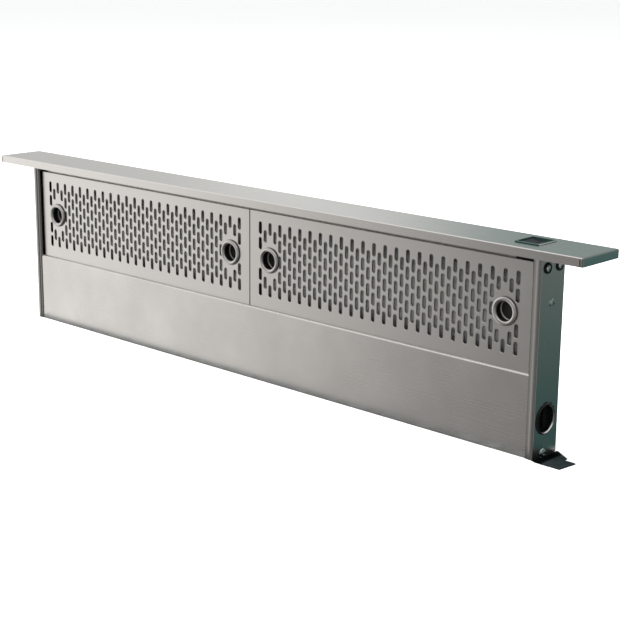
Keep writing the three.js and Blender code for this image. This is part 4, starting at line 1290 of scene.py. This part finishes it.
# Openings of the countertop beside the chimney's right end: first and last x, first and last y.
OPENINGS = ((0.4025, 0.4135, -0.0225, 0.0065), (0.4025, 0.4057, 0.0060, 0.0175))


def countertop(p):
    """A pale floor, open where the vent's dark throat shows beside the chimney."""
    floor = settle(start("plane", "countertop", size=60.0, location=(0, 0, COUNTER_Z)))
    with editing(floor):
        for hole in OPENINGS:
            for axis, side in zip((0, 0, 1, 1), hole):
                at, across = Vector((0, 0, COUNTER_Z)), Vector()
                at[axis], across[axis] = side, 1.0
                bpy.ops.mesh.select_all(action="SELECT")
                bpy.ops.mesh.bisect(plane_co=at, plane_no=across)
        pick_faces(floor, lambda c, n: any(a < c.x < b and low < c.y < high for a, b, low, high in OPENINGS))
        bpy.ops.mesh.delete(type="FACE")
    dress(floor, floor_paint("countertop_paint", p.floor))
    floor.visible_glossy = False
    return floor


def overhead_light():
    """One large soft light above the vent, which its steel doesn't mirror."""
    at, aim = Vector((-0.6, -0.4, 3.2)), Vector((0, 0, 0.5))
    data = bpy.data.lights.new("overhead", "AREA")
    data.size = 3.0
    data.energy = 190.0
    light = bpy.data.objects.new("overhead", data)
    bpy.context.scene.collection.objects.link(light)
    light.location = at
    light.rotation_mode = "QUATERNION"
    light.rotation_quaternion = (aim - at).to_track_quat("-Z", "Y")
    light.visible_glossy = False


def studio_sky():
    """A studio of broad soft walls: bright at the left, dim at the front right and dim teal behind."""
    world = bpy.data.worlds.new("studio")
    bpy.context.scene.world = world
    world.use_nodes = True
    n = Nodes(world.node_tree)
    way = n.make("TexCoord", output=0)
    x, y, z = (way.axis(index) for index in range(3))
    # Where each wall is, from 0 to 1.
    back = y.ramp(0.0, 0.5)
    left = (-x).ramp(0.50, 0.84) * (1.0 - back) + (-x).ramp(0.55, 0.65) * back
    front = (-y).ramp(0.82, 0.95) * x.ramp(-0.45, -0.10)
    right = x.ramp(0.80, 0.93) * (1.0 - back)
    above = z.ramp(0.32, 0.70) * (1.0 - back * (-x).ramp(0.1, 0.4))
    # The dim teal part behind: darkest low down, and grey at the right and at the very bottom.
    deep = n.mix(z.ramp(-0.313, -0.14), (0.0, 0.062, 0.054), (0.263, 0.303, 0.291))
    deep = n.mix(x.ramp(0.70, 0.80), deep, (0.40, 0.41, 0.41))
    deep = n.mix(z.ramp(-0.55, -0.40), (0.26, 0.28, 0.28), deep)
    behind = n.mix(z.ramp(-0.12, 0.16), deep, (0.29, 0.36, 0.35))
    # The walls are laid over one another, from the base up.
    base = n.mix(back, (0.135, 0.13, 0.125), behind)
    rear = n.mix((-x).ramp(0.69, 0.75), (0.92, 0.92, 0.91), (0.70, 0.70, 0.69))
    wall = n.mix(back, (1.50, 1.48, 1.45), rear)
    level = n.mix(left, base, wall)
    level = n.mix(front * 0.7, level, (0.8, 0.8, 0.79))
    level = n.mix(right, level, (0.6, 0.64, 0.64))
    level = n.mix(above, level, (1.3, 1.3, 1.3))
    # The camera itself sees plain white.
    seen = n.make("LightPath", output=0)
    plain = n.mix(seen, level, (1.0, 1.0, 1.0))
    background = next(b for b in world.node_tree.nodes if b.bl_idname == "ShaderNodeBackground")
    wire(world.node_tree, plain, background.inputs[0])
    background.inputs[1].default_value = 1.0


def make_camera(p):
    """The camera on its bearing round the target, turned about its line of sight."""
    a, e, r = p.azimuth, p.elevation, p.roll
    back = Vector((math.sin(a) * math.cos(e), -math.cos(a) * math.cos(e), math.sin(e)))
    right = Vector((math.cos(a), math.sin(a), 0.0))
    up = back.cross(right)
    turned_right = right * math.cos(r) + up * math.sin(r)
    turned_up = up * math.cos(r) - right * math.sin(r)
    data = bpy.data.cameras.new("camera")
    data.lens = p.focal
    data.sensor_width = 36.0
    data.clip_start = 0.05
    data.clip_end = 200.0
    camera = bpy.data.objects.new("camera", data)
    bpy.context.scene.collection.objects.link(camera)
    facing = Matrix((turned_right, turned_up, back)).transposed().to_4x4()
    camera.matrix_world = Matrix.Translation(Vector(p.target) + back * p.distance) @ facing
    bpy.context.scene.camera = camera


class VENT_OT_stage(bpy.types.Operator):
    """Adds the pale countertop, the soft light and the camera"""

    bl_idname = "vent.stage"
    bl_label = "Stage"

    def execute(self, context):
        p = context.scene.vent_stage
        floor = countertop(p)
        studio_sky()
        overhead_light()
        make_camera(p)
        context.scene.view_settings.view_transform = "Standard"
        return {"FINISHED"}


class VENT_PT_panel(bpy.types.Panel):
    """Lists the steps that dress the vent"""

    bl_idname = "VENT_PT_panel"
    bl_label = "Downdraft vent"
    bl_space_type = "VIEW_3D"
    bl_region_type = "UI"
    bl_category = "Vent"

    def draw(self, context):
        for step in STEPS:
            self.layout.operator(step.bl_idname)
        for group in GROUPS:
            held = getattr(context.scene, group)
            for name in held.__annotations__:
                self.layout.prop(held, name)


STEPS = (
    VENT_OT_finishes, VENT_OT_cap, VENT_OT_sheets, VENT_OT_grilles, VENT_OT_rings, VENT_OT_switch,
    VENT_OT_knob, VENT_OT_fasteners, VENT_OT_stage,
)
GROUPS = {
    "vent_finish": VENT_PG_finish, "vent_sheet": VENT_PG_sheet, "vent_grille": VENT_PG_grille,
    "vent_stage": VENT_PG_stage,
}


def register():
    for group in GROUPS.values():
        bpy.utils.register_class(group)
    for step in STEPS:
        bpy.utils.register_class(step)
    bpy.utils.register_class(VENT_PT_panel)
    for name, group in GROUPS.items():
        setattr(bpy.types.Scene, name, bpy.props.PointerProperty(type=group))


def unregister():
    for name in GROUPS:
        delattr(bpy.types.Scene, name)
    bpy.utils.unregister_class(VENT_PT_panel)
    for step in reversed(STEPS):
        bpy.utils.unregister_class(step)
    for group in reversed(list(GROUPS.values())):
        bpy.utils.unregister_class(group)


def main():
    register()
    for step in STEPS:
        area, name = step.bl_idname.split(".")
        result = getattr(getattr(bpy.ops, area), name)()
        if result != {"FINISHED"}:
            raise RuntimeError(step.bl_label + " did not finish")


if __name__ == "__main__":
    main()
